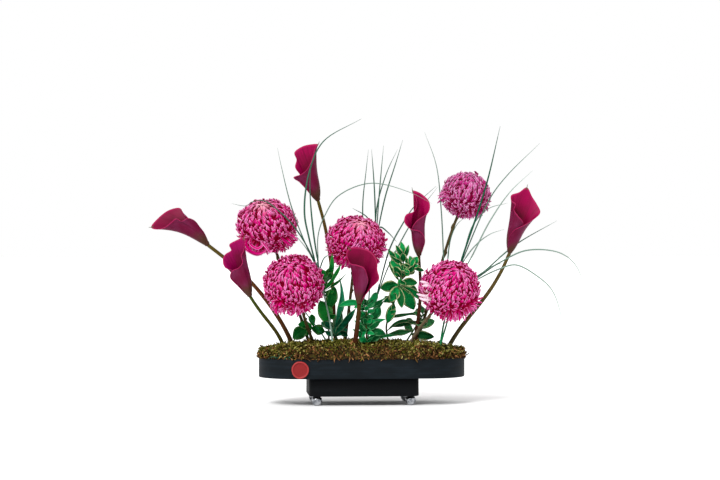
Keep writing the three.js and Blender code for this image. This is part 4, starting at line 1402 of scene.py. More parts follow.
@dataclass
class Chrysanthemum:
    """A ball of incurved ribbon petals on its stem.

    Petals come loose near the directions in strays and are pale near the direction bleached. Past the angle
    droop from the bloom's middle they no longer curl in. Those in ribbons hang free on routes of their own.
    """

    name: str
    faces: Spot
    finish: PetalFinish
    slot: str
    seed: int
    flat: float
    strays: Sequence[Spot] = ((0.0, -0.45, -0.9),)
    ribbons: Sequence[Route] = ()
    heart: float = 0.0
    bleached: Spot = (0.0, 0.0, 0.0)
    bark: StemFinish = WOODY_STEM
    petals: int = 1000
    width: float = 2.45
    rows: int = 10
    columns: int = 5
    droop: float = 1.85
    petal_thickness: float = 0.5
    overhang: float = 1.02
    last_tilt: float = 2.78
    heart_spread: float = 0.34
    ribbon_rows: int = 22

    BLEACHED_WITHIN: ClassVar[float] = 0.972  # least agreement of a tip's direction with bleached
    USUAL_RADIUS: ClassVar[float] = 56.0  # the head's radius at which petals have the stated width

    def build(self) -> None:
        """Builds the head and its stem."""
        low, high = node_box(f"{self.name}_head")
        centre = (low + high) / 2
        radius = float(high[0] - low[0]) / 2 * self.overhang
        chance = np.random.default_rng(self.seed)
        turn = np.array(Vector((0, 0, 1)).rotation_difference(Vector(self.faces).normalized()).to_matrix())
        squash = np.array([1.0, 1.0, self.flat])
        skin = Skin()
        self.core(skin, centre, radius)
        for i in range(self.petals):
            tilt = math.acos(1 - (1 - math.cos(self.last_tilt)) * (i + 0.35) / self.petals)
            around = i * GOLDEN_ANGLE
            loose = self.looseness(tilt, around, turn)
            grid = self.petal(tilt, around, radius, loose, chance) @ turn.T * squash
            heart = self.heart * math.exp(-((tilt / self.heart_spread) ** 2))
            marks = {"tone": chance.uniform(), "heart": heart}
            marks["tail"] = float(unit(grid[-1, 2]) @ np.array(self.bleached) > self.BLEACHED_WITHIN)
            skin.sheet(grid + centre, self.petal_thickness, marks)
        for number, route in enumerate(self.ribbons):
            grid = self.ribbon(route)
            along = np.repeat(np.linspace(0.6, 1, len(grid)), self.columns)
            marks = {"along": along, "outer": 1.0, "tone": draw(number + 0.3)}
            marks["tail"] = float(any(self.bleached))
            skin.sheet(grid + centre, self.petal_thickness, marks)
        piece = skin.piece(f"{self.name}_petals", self.finish)
        stand_for(piece, self.slot, f"{self.name}_head")
        Stem(f"{self.name}_stem", "chrysanthemum_stem", self.bark, knobs=11, girth=0.84).build()

    def ribbon(self, route: Route) -> np.ndarray:
        """Shapes one long petal that hangs free of the ball.

        Args:
            route: The points that it passes, from the head's centre.

        Returns:
            The petal's grid of points.
        """
        line = flowing(route, self.ribbon_rows)
        share = np.linspace(0, 1, self.ribbon_rows)
        side, out = carried_frames(line, FRONT)
        half = self.width * 1.15 * np.interp(share, [0, 0.2, 0.8, 1], [0.7, 1.0, 0.9, 0.2])
        across = np.linspace(-1, 1, self.columns)
        beside = unit(side * 0.8 + out * 0.6)
        return line[:, None] - beside[:, None] * (across[None] * half[:, None])[..., None]

    def looseness(self, tilt: float, around: float, turn: np.ndarray) -> float:
        """Finds how far a petal has come loose from the ball, by its place.

        Args:
            tilt: Angle from the middle of the bloom to the petal's place.
            around: Angle round the bloom.
            turn: The bloom's rotation.

        Returns:
            From 0 where it is held to 1 where it is loose.
        """
        ring = math.sin(tilt)
        way = turn @ np.array([ring * math.cos(around), ring * math.sin(around), math.cos(tilt)])
        nearest = max(float(way @ unit(np.array(stray))) for stray in self.strays)
        return min(1.0, max(0.0, (nearest - 0.88) / 0.07))

    @staticmethod
    def core(skin: Skin, centre: np.ndarray, radius: float) -> None:
        """Adds the inner ball that the petals stand on, dark in the petals' painted root shade.

        Args:
            skin: The head's skin.
            centre: The head's centre.
            radius: The head's radius.
        """
        height = np.linspace(-1, 1, 18) * 0.995
        line = centre + np.outer(height, UP) * radius * 0.68
        # along 0 gives it the painted shade of the petal roots
        skin.tube(line, np.sqrt(1 - height**2) * radius * 0.74, 28, {"along": 0.0, "outer": 0.0})

    def petal(self, tilt: float, turn: float, radius: float, loose: float, chance: Chance) -> np.ndarray:
        """Shapes one petal about a head that looks along +Z.

        Args:
            tilt: Angle from the middle of the bloom to the petal's place.
            turn: Angle round the bloom.
            radius: The head's radius.
            loose: How far the petal has come loose from the ball, from 0 to 1.
            chance: The head's draws.

        Returns:
            The petal's grid of points, its outer face outward.
        """
        tilt += chance.normal(0, 0.05)
        turn += chance.normal(0, 0.07)
        reach = chance.normal(1.0, 0.038) + loose * chance.uniform(0.0, 0.12)
        hanging = max(loose, min(1.0, max(0.0, (tilt - self.droop) / 0.5)))
        share = np.linspace(0, 1, self.rows)
        curl = -0.13 * chance.uniform(0.3, 1.5)
        lean = np.interp(share, [0, 0.4, 0.72, 1], [0.09, 0.08, 0.03, curl])
        lean = lean * (1 - hanging) + hanging * chance.uniform(-0.1, 0.3) * share**2
        lifts = [0.56, 0.8, 0.94, 1.0, 0.985 + 0.05 * hanging]
        lift = np.interp(share, [0, 0.35, 0.65, 0.86, 1], lifts) * reach
        turn = turn + chance.normal(0, 0.09) * share**2 / max(0.25, math.sin(tilt))
        angle = tilt + lean
        ring, height = np.sin(angle) * lift * radius, np.cos(angle) * lift * radius
        line = np.column_stack([ring * np.cos(turn), ring * np.sin(turn), height])
        twist = chance.normal(0, 0.3)
        side, _ = carried_frames(line, line[self.rows // 2])
        out = unit(np.cross(side, unit(np.gradient(line, axis=0))))
        out = out * np.sign((out * line).sum(axis=1, keepdims=True).mean())
        beside = side * math.cos(twist) + out * math.sin(twist)
        breadth = self.width * chance.uniform(0.8, 1.2) * radius / self.USUAL_RADIUS
        shape = np.interp(share, [0, 0.3, 0.6, 0.8, 0.93, 1], [0.6, 0.8, 1.0, 0.92, 0.58, 0.14])
        across = np.linspace(-1, 1, self.columns)
        hollow = -0.4 * breadth * across**2
        grid = line[:, None] + beside[:, None] * (across[None] * (breadth * shape)[:, None])[..., None]
        return grid + out[:, None] * (hollow[None] * shape[:, None])[..., None]


# ------------------------------------------------------------------------------- leaves


class Outline(Enum):
    """A leaf's outline: where its widest place lies, how full it is, and how high it arches."""

    OVAL = (1.25, 0.7, 0.05)
    LANCE = (0.9, 1.0, 0.05)
    ARCHED = (0.9, 0.9, 0.2)


@dataclass
class Leaf:
    """One leaf: foot on its twig, tip, width, and turn about its own length in degrees."""

    foot: Spot
    tip: Spot
    width: float
    turn: float
    outline: Outline
    thickness: float = 0.6
    rows: int = 16
    columns: int = 9

    def grow(self, skin: Skin, order: int) -> None:
        """Adds the leaf to a spray.

        Args:
            skin: The spray's skin.
            order: The leaf's number, which its waves and tone follow.
        """
        skew, fullness, arch = self.outline.value
        foot, tip = np.array(self.foot, float), np.array(self.tip, float)
        along = tip - foot
        length = float(np.linalg.norm(along))
        way = along / length
        face = np.array(Matrix.Rotation(math.radians(self.turn), 3, Vector(way)) @ Vector(FRONT))
        out = unit(face - way * (way @ face))
        side = np.cross(way, out)
        t = np.linspace(0, 1, self.rows)
        across = np.linspace(-1, 1, self.columns)
        breadth = np.clip(np.sin(math.pi * t**skew), 0, 1) ** fullness
        half = self.width / 2 * np.maximum(breadth, 0.035)
        phase = 2 * math.pi * draw(order)
        wave = np.sin(9 * t[:, None] + phase + across[None] * 1.3) * across[None] ** 2 * 0.15 * self.width
        curl = 0.34 * (draw(order * 1.7 + 0.2) - 0.25)
        fold = 0.2 * half[:, None] * np.abs(across)[None]
        curve = 4 * t * (1 - t)
        spine = foot + t[:, None] * along + UP * (arch * length * curve)[:, None]
        spine = spine + out * (length * (0.06 * np.sin(t * math.pi) - curl * t**3))[:, None]
        grid = spine[:, None] + side * (half[:, None] * across[None])[..., None]
        grid = grid + out * (fold + wave * breadth[:, None])[..., None]
        skin.sheet(grid, self.thickness, {"tone": draw(order + 0.37)})


@dataclass
class Spray:
    """A leafy stem with its leaves."""

    name: str
    finish: LeafFinish
    bark: StemFinish
    twigs: Sequence[Route]
    leaves: Sequence[Leaf]
    young: int = 0
    young_length: tuple[float, float] = (11.0, 20.0)
    low: float = 2.0
    high: float = 1.2
    twig_steps: int = 40
    twig_sides: int = 9

    FIRST_YOUNG: ClassVar[int] = 60  # young leaves are numbered from here, apart from the others

    def build(self) -> None:
        """Builds the twigs and the leaves."""
        wood = Skin()
        for number, twig in enumerate(self.twigs):
            route = rooted(twig) if number == 0 else twig
            line = flowing(route, self.twig_steps)
            radii = np.linspace(self.low, self.high, self.twig_steps)
            wood.tube(line, radii, self.twig_sides, {"tone": draw(number)})
        leaves = Skin()
        for order, leaf in enumerate(self.leaves):
            leaf.grow(leaves, order)
        chance = np.random.default_rng(len(self.leaves))
        for order in range(self.young):
            self.leaflet(chance).grow(leaves, self.FIRST_YOUNG + order)
        wood.piece(f"{self.name}_twigs", self.bark, 60)
        stand_for(leaves.piece(f"{self.name}_leaves", self.finish), "leaves", self.name)

    def leaflet(self, chance: Chance) -> Leaf:
        """Draws one small young leaf somewhere on the twigs.

        Args:
            chance: The spray's draws.

        Returns:
            The leaf.
        """
        line = flowing(self.twigs[int(chance.integers(len(self.twigs)))], 20)
        foot = line[int(chance.integers(7, 20))]
        way = unit(chance.normal(0, 1, 3) * [1.0, 0.6, 0.5] + UP * 0.5 + FRONT * 0.3)
        length = chance.uniform(*self.young_length)
        width = length * chance.uniform(0.42, 0.6)
        return Leaf(tuple(foot), tuple(foot + way * length), width, chance.uniform(-50, 50), Outline.OVAL)


def rooted(points: Route) -> Route:
    """Leads a route down to where it starts in the foam.

    Args:
        points: The route from the moss up.

    Returns:
        The route with its foot before it.
    """
    stem_foot, kept_lean = 72.0, 0.4
    base, after = np.array(points[0], float), np.array(points[1], float)
    lean = (base[2] - stem_foot) / (after[2] - base[2]) * kept_lean
    foot = base + (base - after) * lean
    return [(foot[0], foot[1], stem_foot), *points]


# ------------------------------------------------------------------------------- grass


@dataclass
class Blade:
    """One grass blade: its route, how pale it is from 0 to 1, and its width."""

    route: Route
    pale: float
    width: float = 2.4


@dataclass
class Tuft:
    """Culms that stand in the moss and the blades that part from them."""

    name: str
    culms: Sequence[Route]
    blades: Sequence[Blade]
    fresh: float = 0.35
    culm_radius: float = 2.0
    culm_pale: float = 0.05
    culm_steps: int = 48
    culm_sides: int = 9
    blade_steps: int = 72

    def build(self) -> None:
        """Builds the culms and the blades."""
        skin = Skin()
        for culm in self.culms:
            line = flowing(rooted(culm), self.culm_steps)
            radius = np.linspace(self.culm_radius, self.culm_radius * 0.5, self.culm_steps) * 0.85
            fresh = self.fresh * np.repeat(np.linspace(1, 0.2, self.culm_steps), self.culm_sides)
            skin.tube(line, radius, self.culm_sides, {"tone": self.culm_pale, "heart": fresh})
        for blade in self.blades:
            line = flowing(blade.route, self.blade_steps)
            share = np.linspace(0, 1, self.blade_steps)
            half = blade.width * 0.56 * (0.75 + 0.25 * np.sin(math.pi * share)) * (1 - share**4 * 0.85)
            tone = np.repeat(np.clip(blade.pale * (0.35 + 0.6 * share), 0, 1), 3)
            skin.strand(line, half, FRONT, {"tone": tone})
        stand_for(skin.piece(f"{self.name}_grass", GrassFinish()), "grass", self.name)


# ------------------------------------------------------------------------------- places of the plants


RUST_STEM = StemFinish("rust_stem", srgb(66, 44, 14), srgb(88, 44, 16), srgb(74, 64, 18), srgb(48, 26, 10))
DARK_STEM = StemFinish("dark_stem", srgb(52, 26, 10), srgb(64, 28, 10), srgb(66, 46, 14), srgb(38, 18, 8))
GREEN_STEM = StemFinish("green_stem", srgb(56, 54, 12), srgb(64, 58, 14), srgb(54, 70, 14), srgb(42, 34, 10))
OLIVE_STEM = StemFinish("olive_stem", srgb(54, 52, 28), srgb(74, 58, 22), srgb(78, 66, 28), srgb(40, 34, 18))

# a darker copy of the spathe: painted shade for the two whose insides lie in shade
SHADED_SPATHE = SpatheFinish("shaded_spathe", inside=srgb(112, 2, 48), throat=srgb(64, 0, 16))
PURPLE_SPATHE = SpatheFinish("purple_spathe", inside=srgb(132, 0, 72))

CALLAS = (
    Calla(
        "calla_far_left",
        axis=((-285, 73, 294), (-312, 75, 328), (-364, 79, 338)),
        rim=(
            (-295, 69, 321), (-308, 65, 338), (-321, 60, 343), (-334, 57, 337), (-343, 57, 342),
            (-354, 60, 334), (-364, 65, 326), (-378, 74, 322), (-390, 85, 326), (-374, 96, 346),
            (-355, 102, 359), (-336, 100, 362), (-330, 91, 350), (-317, 84, 341), (-304, 73, 324),
        ),
        tail_point=8,
        bark=RUST_STEM,
        finish=SHADED_SPATHE,
    ),
    Calla(
        "calla_left",
        axis=((-208, -29, 201), (-220, -28, 238), (-233, -27, 275)),
        rim=(
            (-222, -32, 211), (-244, -33, 234), (-240, -39, 246), (-228, -46, 252), (-221, -47, 262),
            (-224, -43, 273), (-219, -37, 284), (-217, -31, 298), (-218, -25, 306), (-233, -17, 301),
            (-245, -12, 293), (-241, -13, 284), (-253, -15, 275), (-257, -22, 264), (-253, -28, 252),
            (-240, -32, 247), (-226, -33, 236),
        ),
        tail_point=8,
        bark=GREEN_STEM,
        finish=PURPLE_SPATHE,
    ),
    Calla(
        "calla_top",
        axis=((-78, 68, 378), (-87, 69, 407), (-104, 70, 449)),
        rim=(
            (-89, 65, 387), (-108, 62, 408), (-124, 63, 419), (-110, 56, 425), (-100, 52, 433),
            (-92, 52, 447), (-87, 56, 461), (-82, 63, 477), (-77, 68, 482), (-92, 77, 482),
            (-107, 84, 478), (-121, 86, 467), (-117, 82, 454), (-120, 77, 440), (-113, 69, 428),
            (-100, 65, 415),
        ),
        tail_point=8,
        bark=RUST_STEM,
    ),
    Calla(
        "calla_front",
        axis=((-11, -77, 188), (-8, -78, 222), (-4, -78, 269)),
        rim=(
            (-6, -87, 195), (9, -99, 216), (23, -99, 231), (21, -88, 248), (21, -79, 266), (9, -70, 282),
            (-8, -63, 288), (-29, -67, 287), (-34, -74, 277), (-28, -84, 260), (-16, -92, 257),
            (-4, -96, 252), (2, -94, 239), (4, -91, 226), (-3, -85, 210),
        ),
        tail_point=7,
        bark=DARK_STEM,
        finish=SHADED_SPATHE,
    ),
    Calla(
        "calla_right",
        axis=((106, 0, 275), (105, 0, 309), (103, 0, 358)),
        rim=(
            (110, -6, 280), (116, -11, 296), (114, -16, 309), (104, -20, 319), (89, -19, 322),
            (78, -12, 335), (82, -4, 349), (97, 0, 355), (103, 4, 370), (100, 8, 386), (95, 9, 394),
            (103, 6, 392), (113, 1, 386), (125, -5, 372), (123, -10, 354), (111, -11, 345),
            (99, -14, 336), (91, -11, 321), (94, -5, 302),
        ),
        tail_point=10,
        bark=DARK_STEM,
        flare=6.5,
    ),
    Calla(
        "calla_far_right",
        axis=((275, -7, 280), (281, -7, 313), (299, -9, 358)),
        rim=(
            (271, -10, 287), (272, -17, 306), (280, -25, 320), (296, -27, 328), (312, -22, 337),
            (331, -13, 353), (326, -5, 369), (318, 1, 383), (309, 4, 400), (294, 1, 391), (278, -5, 385),
            (278, -10, 375), (285, -14, 370), (281, -17, 359), (288, -22, 347), (298, -21, 334),
            (293, -15, 313),
        ),
        tail_point=8,
        bark=OLIVE_STEM,
    ),
)

# In each: painted shade at the root, flesh, reverse, painted highlight at the tip, and heart.
MAGENTA = PetalFinish(
    "petals", srgb(158, 0, 50), srgb(180, 0, 100), srgb(214, 124, 180), srgb(212, 142, 188),
    srgb(214, 172, 172),
)
ROSE = PetalFinish(
    "pale_petals", srgb(150, 6, 68), srgb(160, 34, 106), srgb(204, 142, 184), srgb(206, 160, 192),
    srgb(214, 172, 172),
)

CHRYSANTHEMUMS = (
    Chrysanthemum(
        "chrysanthemum_upper_left", (-0.2, -0.6, 0.75), MAGENTA, "petals", 11, 0.89,
        strays=((-0.5, -0.35, -0.8), (0.7, -0.3, -0.65)), heart=0.75,
        ribbons=(
            (
                (-34, -30, -22), (-39, -36, -34), (-25, -38, -50), (-7, -38, -48), (-1, -36, -36),
                (-10, -34, -27),
            ),
            ((-28, -34, -20), (-32, -40, -33), (-19, -42, -42), (-10, -42, -36), (-14, -38, -27)),
            ((-40, -22, -24), (-45, -28, -37), (-34, -32, -48), (-19, -32, -54), (-8, -30, -52)),
            ((-14, -40, -26), (-2, -42, -40), (4, -40, -48), (10, -36, -44)),
            ((24, -38, -20), (34, -36, -30), (46, -30, -38)),
            ((32, -34, -10), (44, -32, -18), (57, -26, -26)),
        ),
    ),
    Chrysanthemum(
        "chrysanthemum_lower_left", (-0.15, -0.75, 0.6), MAGENTA, "petals", 23, 0.96,
        strays=((0.15, -0.4, -0.9), (-0.6, -0.3, -0.75)),
    ),
    Chrysanthemum(
        "chrysanthemum_middle", (0.15, -0.7, 0.7), MAGENTA, "petals", 37, 0.87,
        strays=((-0.45, -0.4, -0.8), (0.75, -0.35, -0.55)), heart=0.6,
    ),
    Chrysanthemum(
        "chrysanthemum_upper_right", (0.1, -0.5, 0.85), ROSE, "pale_petals", 41, 0.93,
        strays=((0.4, -0.35, -0.85), (-0.93, -0.35, -0.1), (0.8, -0.3, -0.5)),
    ),
    Chrysanthemum(
        "chrysanthemum_lower_right", (0.15, -0.7, 0.65), MAGENTA, "petals", 59, 0.98,
        strays=((0.1, -0.4, -0.9), (0.7, -0.3, -0.65)), bleached=(-0.87, -0.46, -0.16), bark=GREY_STEM,
        ribbons=(
            ((-38, -26, 8), (-48, -28, 13), (-58, -26, 16)),
            ((-36, -30, 4), (-46, -32, 8), (-55, -32, 8)),
            ((-40, -26, -12), (-52, -28, -11), (-64, -24, -7)),
            ((-38, -28, -18), (-50, -30, -18), (-60, -28, -14)),
        ),
    ),
)

EMERALD = LeafFinish(
    "leaf_emerald", srgb(0, 76, 30), srgb(8, 136, 66), srgb(186, 190, 140), srgb(56, 104, 62), 0.75
)
FRESH = LeafFinish(
    "leaf_fresh", srgb(0, 72, 30), srgb(10, 134, 70), srgb(120, 184, 130), srgb(52, 110, 68), 0.4
)
MEADOW = LeafFinish(
    "leaf_meadow", srgb(0, 84, 26), srgb(18, 128, 46), srgb(130, 170, 104), srgb(66, 112, 62), 0.35
)
TEAL = LeafFinish(
    "leaf_teal", srgb(0, 68, 42), srgb(24, 122, 84), srgb(150, 176, 134), srgb(66, 108, 86), 0.4
)
OLIVE = LeafFinish(
    "leaf_olive", srgb(4, 62, 26), srgb(40, 112, 60), srgb(170, 178, 136), srgb(90, 116, 86), 0.55
)
GREEN_TWIG = StemFinish("green_twig", srgb(54, 50, 18), srgb(40, 72, 26), srgb(34, 94, 44), srgb(32, 36, 12))
RUST_TWIG = StemFinish("rust_twig", srgb(90, 46, 14), srgb(108, 64, 24), srgb(56, 84, 30), srgb(46, 28, 12))

SPRAYS = (
    Spray(
        "spray_left",
        MEADOW,
        GREEN_TWIG,
        twigs=(
            ((-61, 13, 105), (-61, 11, 143), (-66, 10, 182), (-69, 10, 209), (-63, 5, 230)),
            ((-62, 11, 139), (-80, 16, 144), (-95, 21, 137)),
        ),
        leaves=(
            Leaf((-62, 9, 141), (-74, 5, 189), 28, 10, Outline.OVAL),
            Leaf((-64, 11, 165), (-51, 12, 216), 22, 15, Outline.OVAL),
            Leaf((-69, 11, 206), (-74, 10, 250), 15, 20, Outline.LANCE),
            Leaf((-70, 8, 208), (-39, -22, 256), 11, 40, Outline.LANCE),
            Leaf((-62, 5, 230), (-53, -18, 271), 11, 20, Outline.LANCE),
            Leaf((-68, 7, 208), (-29, -13, 238), 7, 55, Outline.LANCE),
            Leaf((-92, 20, 139), (-129, 32, 119), 24, 12, Outline.OVAL),
            Leaf((-93, 19, 139), (-69, 11, 131), 19, 15, Outline.OVAL),
            Leaf((-63, 5, 230), (-75, 14, 248), 11, -25, Outline.LANCE),
        ),
        young=13,
        young_length=(19.0, 34.0),
    ),
    Spray(
        "spray_mid",
        TEAL,
        GREEN_TWIG,
        twigs=(((-47, 14, 105), (-48, 12, 126), (-52, 9, 143)),),
        leaves=(
            Leaf((-52, 8, 135), (-29, -12, 225), 13, 35, Outline.LANCE),
            Leaf((-51, 10, 128), (-38, 6, 174), 17, 15, Outline.LANCE),
            Leaf((-51, 8, 126), (-13, -25, 175), 16, 25, Outline.LANCE),
        ),
        young=12,
        young_length=(17.0, 32.0),
    ),
    Spray(
        "spray_centre",
        FRESH,
        RUST_TWIG,
        twigs=(((7, -34, 100), (5, -39, 137), (5, -38, 170), (1, -36, 185)),),
        leaves=(
            Leaf((2, -36, 181), (-48, -30, 175), 13, -15, Outline.ARCHED),
            Leaf((5, -38, 168), (-16, -49, 159), 12, 10, Outline.OVAL),
            Leaf((1, -36, 183), (20, -38, 192), 8, -20, Outline.LANCE),
            Leaf((5, -38, 157), (12, -53, 151), 15, 0, Outline.OVAL),
            Leaf((4, -38, 172), (29, -30, 206), 15, 10, Outline.OVAL),
            Leaf((4, -37, 174), (44, -26, 196), 9, 35, Outline.LANCE),
            Leaf((5, -37, 166), (44, -24, 188), 8, 30, Outline.LANCE),
            Leaf((5, -39, 145), (34, -33, 179), 18, 15, Outline.OVAL),
            Leaf((5, -39, 143), (41, -37, 156), 10, -20, Outline.LANCE),
            Leaf((5, -39, 134), (29, -49, 151), 11, 10, Outline.OVAL),
            Leaf((5, -39, 132), (41, -39, 131), 15, -10, Outline.OVAL),
            Leaf((5, -39, 130), (-10, -51, 147), 11, -10, Outline.OVAL),
            Leaf((6, -37, 114), (-9, -50, 124), 12, -10, Outline.OVAL),
            Leaf((6, -37, 115), (-21, -40, 139), 11, 25, Outline.LANCE),
            Leaf((5, -39, 137), (-18, -43, 155), 8, 10, Outline.LANCE),
            Leaf((6, -37, 115), (32, -37, 130), 16, 10, Outline.OVAL),
            Leaf((6, -37, 114), (16, -47, 124), 7, 20, Outline.LANCE),
            Leaf((7, -36, 115), (63, -27, 125), 8, -30, Outline.LANCE),
            Leaf((6, -38, 119), (24, -50, 131), 6, 0, Outline.LANCE),
            Leaf((5, -38, 148), (-4, -30, 172), 17, 0, Outline.OVAL),
        ),
        young=46,
    ),
    Spray(
        "spray_right",
        EMERALD,
        GREEN_TWIG,
        twigs=(
            ((51, 8, 105), (46, 5, 143), (58, 3, 180), (66, 1, 206), (72, -3, 235), (78, -6, 269)),
            ((72, -2, 228), (83, -7, 239), (94, -9, 252)),
        ),
        leaves=(
            Leaf((77, -6, 267), (73, -4, 300), 12, 0, Outline.LANCE),
            Leaf((77, -6, 267), (62, -10, 293), 11, -15, Outline.LANCE),
            Leaf((77, -6, 267), (86, -12, 293), 10, 20, Outline.LANCE),
            Leaf((77, -6, 267), (87, 1, 283), 9, 60, Outline.LANCE),
            Leaf((76, -6, 261), (58, -15, 278), 9, -30, Outline.LANCE),
            Leaf((77, -7, 261), (73, -20, 277), 13, 0, Outline.OVAL),
            Leaf((76, -5, 256), (52, -16, 270), 10, -30, Outline.LANCE),
            Leaf((75, -4, 248), (47, 0, 285), 13, -10, Outline.LANCE),
            Leaf((74, -4, 243), (53, -6, 264), 17, -10, Outline.OVAL),
            Leaf((72, -3, 233), (56, -13, 242), 9, -30, Outline.OVAL),
            Leaf((71, -2, 224), (45, -8, 261), 7, -40, Outline.LANCE),
            Leaf((73, -3, 232), (83, -2, 259), 17, 10, Outline.OVAL),
            Leaf((93, -9, 250), (87, -15, 273), 11, -20, Outline.LANCE),
            Leaf((94, -9, 250), (97, -14, 271), 15, 10, Outline.OVAL),
            Leaf((92, -8, 250), (79, -4, 271), 10, -30, Outline.LANCE),
            Leaf((93, -9, 250), (114, -13, 245), 8, 10, Outline.OVAL),
            Leaf((93, -7, 252), (109, 27, 268), 12, 0, Outline.OVAL),
            Leaf((82, -6, 238), (100, 0, 249), 7, 45, Outline.LANCE),
            Leaf((68, 0, 219), (33, -15, 213), 22, -10, Outline.OVAL),
            Leaf((68, 0, 217), (52, -16, 188), 20, -10, Outline.OVAL),
            Leaf((70, 0, 222), (102, -12, 223), 17, 0, Outline.OVAL),
            Leaf((68, 0, 215), (73, -14, 176), 16, 0, Outline.OVAL),
            Leaf((69, 1, 219), (100, 24, 170), 24, 10, Outline.OVAL),
            Leaf((70, 1, 220), (109, 26, 203), 15, -10, Outline.OVAL),
            Leaf((60, 2, 185), (48, -8, 150), 18, 0, Outline.OVAL),
            Leaf((69, 1, 217), (130, 29, 180), 13, -10, Outline.LANCE),
        ),
        young=34,
        young_length=(13.0, 27.0),
    ),
    Spray(
        "spray_low",
        OLIVE,
        GREEN_TWIG,
        twigs=(((81, 25, 104), (96, 24, 130), (118, 24, 164)),),
        leaves=(
            Leaf((116, 24, 161), (51, 25, 143), 11, -50, Outline.ARCHED),
            Leaf((109, 24, 150), (55, 31, 141), 11, -35, Outline.LANCE),
            Leaf((104, 23, 142), (47, 23, 131), 9, 40, Outline.ARCHED),
            Leaf((97, 23, 132), (49, 27, 125), 12, -20, Outline.LANCE),
            Leaf((100, 23, 137), (140, 24, 150), 18, 5, Outline.OVAL),
            Leaf((93, 24, 126), (136, 14, 121), 18, 15, Outline.OVAL),
        ),
        young=9,
        young_length=(17.0, 30.0),
    ),
)

TUFTS = (
    Tuft(
        "tuft_left",
        culms=(((-56, -46, 98), (-61, -25, 152), (-73, -10, 210), (-84, -5, 261)),),
        blades=(
            Blade((
                (-73, -10, 210), (-98, 0, 306), (-106, 8, 354), (-96, 28, 428), (-70, 34, 485),
                (1, 30, 528),
            ), 0.12, 3.0),
            Blade(((-76, -9, 225), (-90, 5, 320), (-95, 22, 395), (-93, 29, 445)), 0.1, 2.8),
            Blade((
                (-78, -8, 237), (-109, 3, 306), (-131, 10, 367), (-149, 26, 443), (-155, 30, 473),
            ), 0.3, 2.0),
            Blade((
                (-80, -7, 247), (-108, -12, 300), (-130, -17, 331), (-156, -15, 357), (-181, -6, 374),
                (-203, 2, 372), (-214, 5, 365), (-240, 7, 369),
            ), 0.12, 2.4),
            Blade(((-80, -7, 250), (-106, -8, 290), (-130, -10, 318)), 0.75, 1.6),
            Blade((
                (-80, -8, 243), (-81, 0, 311), (-68, 5, 348), (-44, 7, 383), (15, 1, 407), (87, -19, 390),
                (127, -28, 369),
            ), 0.45, 1.8),
            Blade(((-80, -8, 243), (-71, -10, 268), (-62, -13, 275)), 0.15),
        ),
        fresh=0.0,
        culm_radius=2.4,
        culm_pale=0.4,
    ),
    Tuft(
        "tuft_centre",
        culms=(((14, 27, 104), (16, 44, 180), (22, 56, 242), (32, 69, 308), (34, 69, 336)),),
        blades=(
            Blade(((22, 56, 242), (10, 75, 313), (7, 68, 368), (13, 61, 434), (17, 59, 472)), 0.15, 2.2),
            Blade(((32, 69, 308), (29, 66, 396), (23, 60, 473)), 0.12, 2.4),
            Blade(((32, 68, 302), (38, 67, 387), (46, 63, 480)), 0.18, 2.2),
            Blade(((30, 67, 293), (34, 70, 364), (53, 70, 430), (73, 69, 473)), 0.2, 2.2),
            Blade(((32, 68, 302), (49, 62, 383), (69, 55, 449), (81, 50, 490)), 0.15, 2.4),
            Blade(((28, 66, 283), (39, 63, 326), (54, 56, 316), (70, 51, 298)), 0.1, 2.6),
            Blade(((28, 66, 283), (17, 65, 342), (-13, 61, 362)), 0.0, 2.4),
        ),
        fresh=0.6,
    ),
    Tuft(
        "tuft_slanting",
        culms=(((17, 1, 104), (21, 6, 163), (33, 12, 220)),),
        blades=(
            Blade(((27, 10, 191), (54, 22, 286), (76, 26, 328), (100, 30, 364), (142, 31, 403)), 0.2, 2.6),
            Blade(((27, 10, 191), (48, 16, 246), (76, 22, 302), (106, 30, 351), (145, 35, 401)), 0.3, 2.2),
        ),
    ),
    Tuft(
        "blade_low",
        culms=(((-65, 1, 112), (-78, 2, 134), (-94, 4, 154), (-109, 9, 176), (-118, 15, 193)),),
        blades=(),
        fresh=0.9,
    ),
    Tuft(
        "tuft_right",
        culms=(
            ((141, -35, 102), (150, -16, 145), (163, 5, 190), (171, 9, 224)),
            ((142, -31, 105), (155, -18, 145), (168, 3, 181)),
        ),
        blades=(
            Blade(((158, 0, 176), (154, 12, 261), (151, 28, 358), (142, 31, 442), (120, 31, 504)), 0.4, 2.2),
            Blade((
                (169, 7, 213), (189, 3, 274), (203, -4, 317), (218, -15, 365), (233, -18, 417),
                (256, -14, 513),
            ), 0.02, 3.3),
            Blade(((169, 7, 213), (196, 5, 283), (238, -5, 379), (269, -9, 421), (329, -18, 481)), 0.3, 2.2),
            Blade(((171, 9, 222), (197, 7, 256), (239, 2, 337), (276, -2, 391), (318, -5, 431)), 0.8, 2.4),
            Blade(((163, 5, 194), (161, 9, 261), (167, 9, 306), (178, 4, 331), (196, -3, 348)), 0.15, 2.2),
            Blade(((171, 9, 222), (191, 8, 263), (214, 9, 293), (241, 11, 313), (268, 15, 322)), 0.7, 2.2),
            Blade(((171, 9, 218), (190, 6, 275), (208, 4, 330), (236, 3, 360), (274, 14, 371)), 0.4, 2.2),
            Blade(((169, 7, 205), (218, 5, 235), (273, 13, 281), (301, 14, 301), (366, 7, 338)), 0.25, 2.4),
            Blade((
                (169, 7, 202), (214, -5, 235), (249, -36, 259), (296, -71, 283), (350, -90, 280),
                (376, -98, 263), (391, -103, 235), (393, -104, 210),
            ), 0.5, 2.4),
            Blade((
                (168, 5, 198), (219, -5, 231), (255, -20, 249), (283, -28, 256), (321, -35, 236),
                (348, -41, 210), (362, -47, 171), (365, -49, 140),
            ), 0.72, 2.4),
            Blade(((169, 7, 202), (216, -5, 233), (246, -23, 255), (260, -33, 261)), 0.15, 2.4),
        ),
        fresh=1.0,
        culm_radius=2.5,
    ),
)


# ------------------------------------------------------------------------------- studio and camera


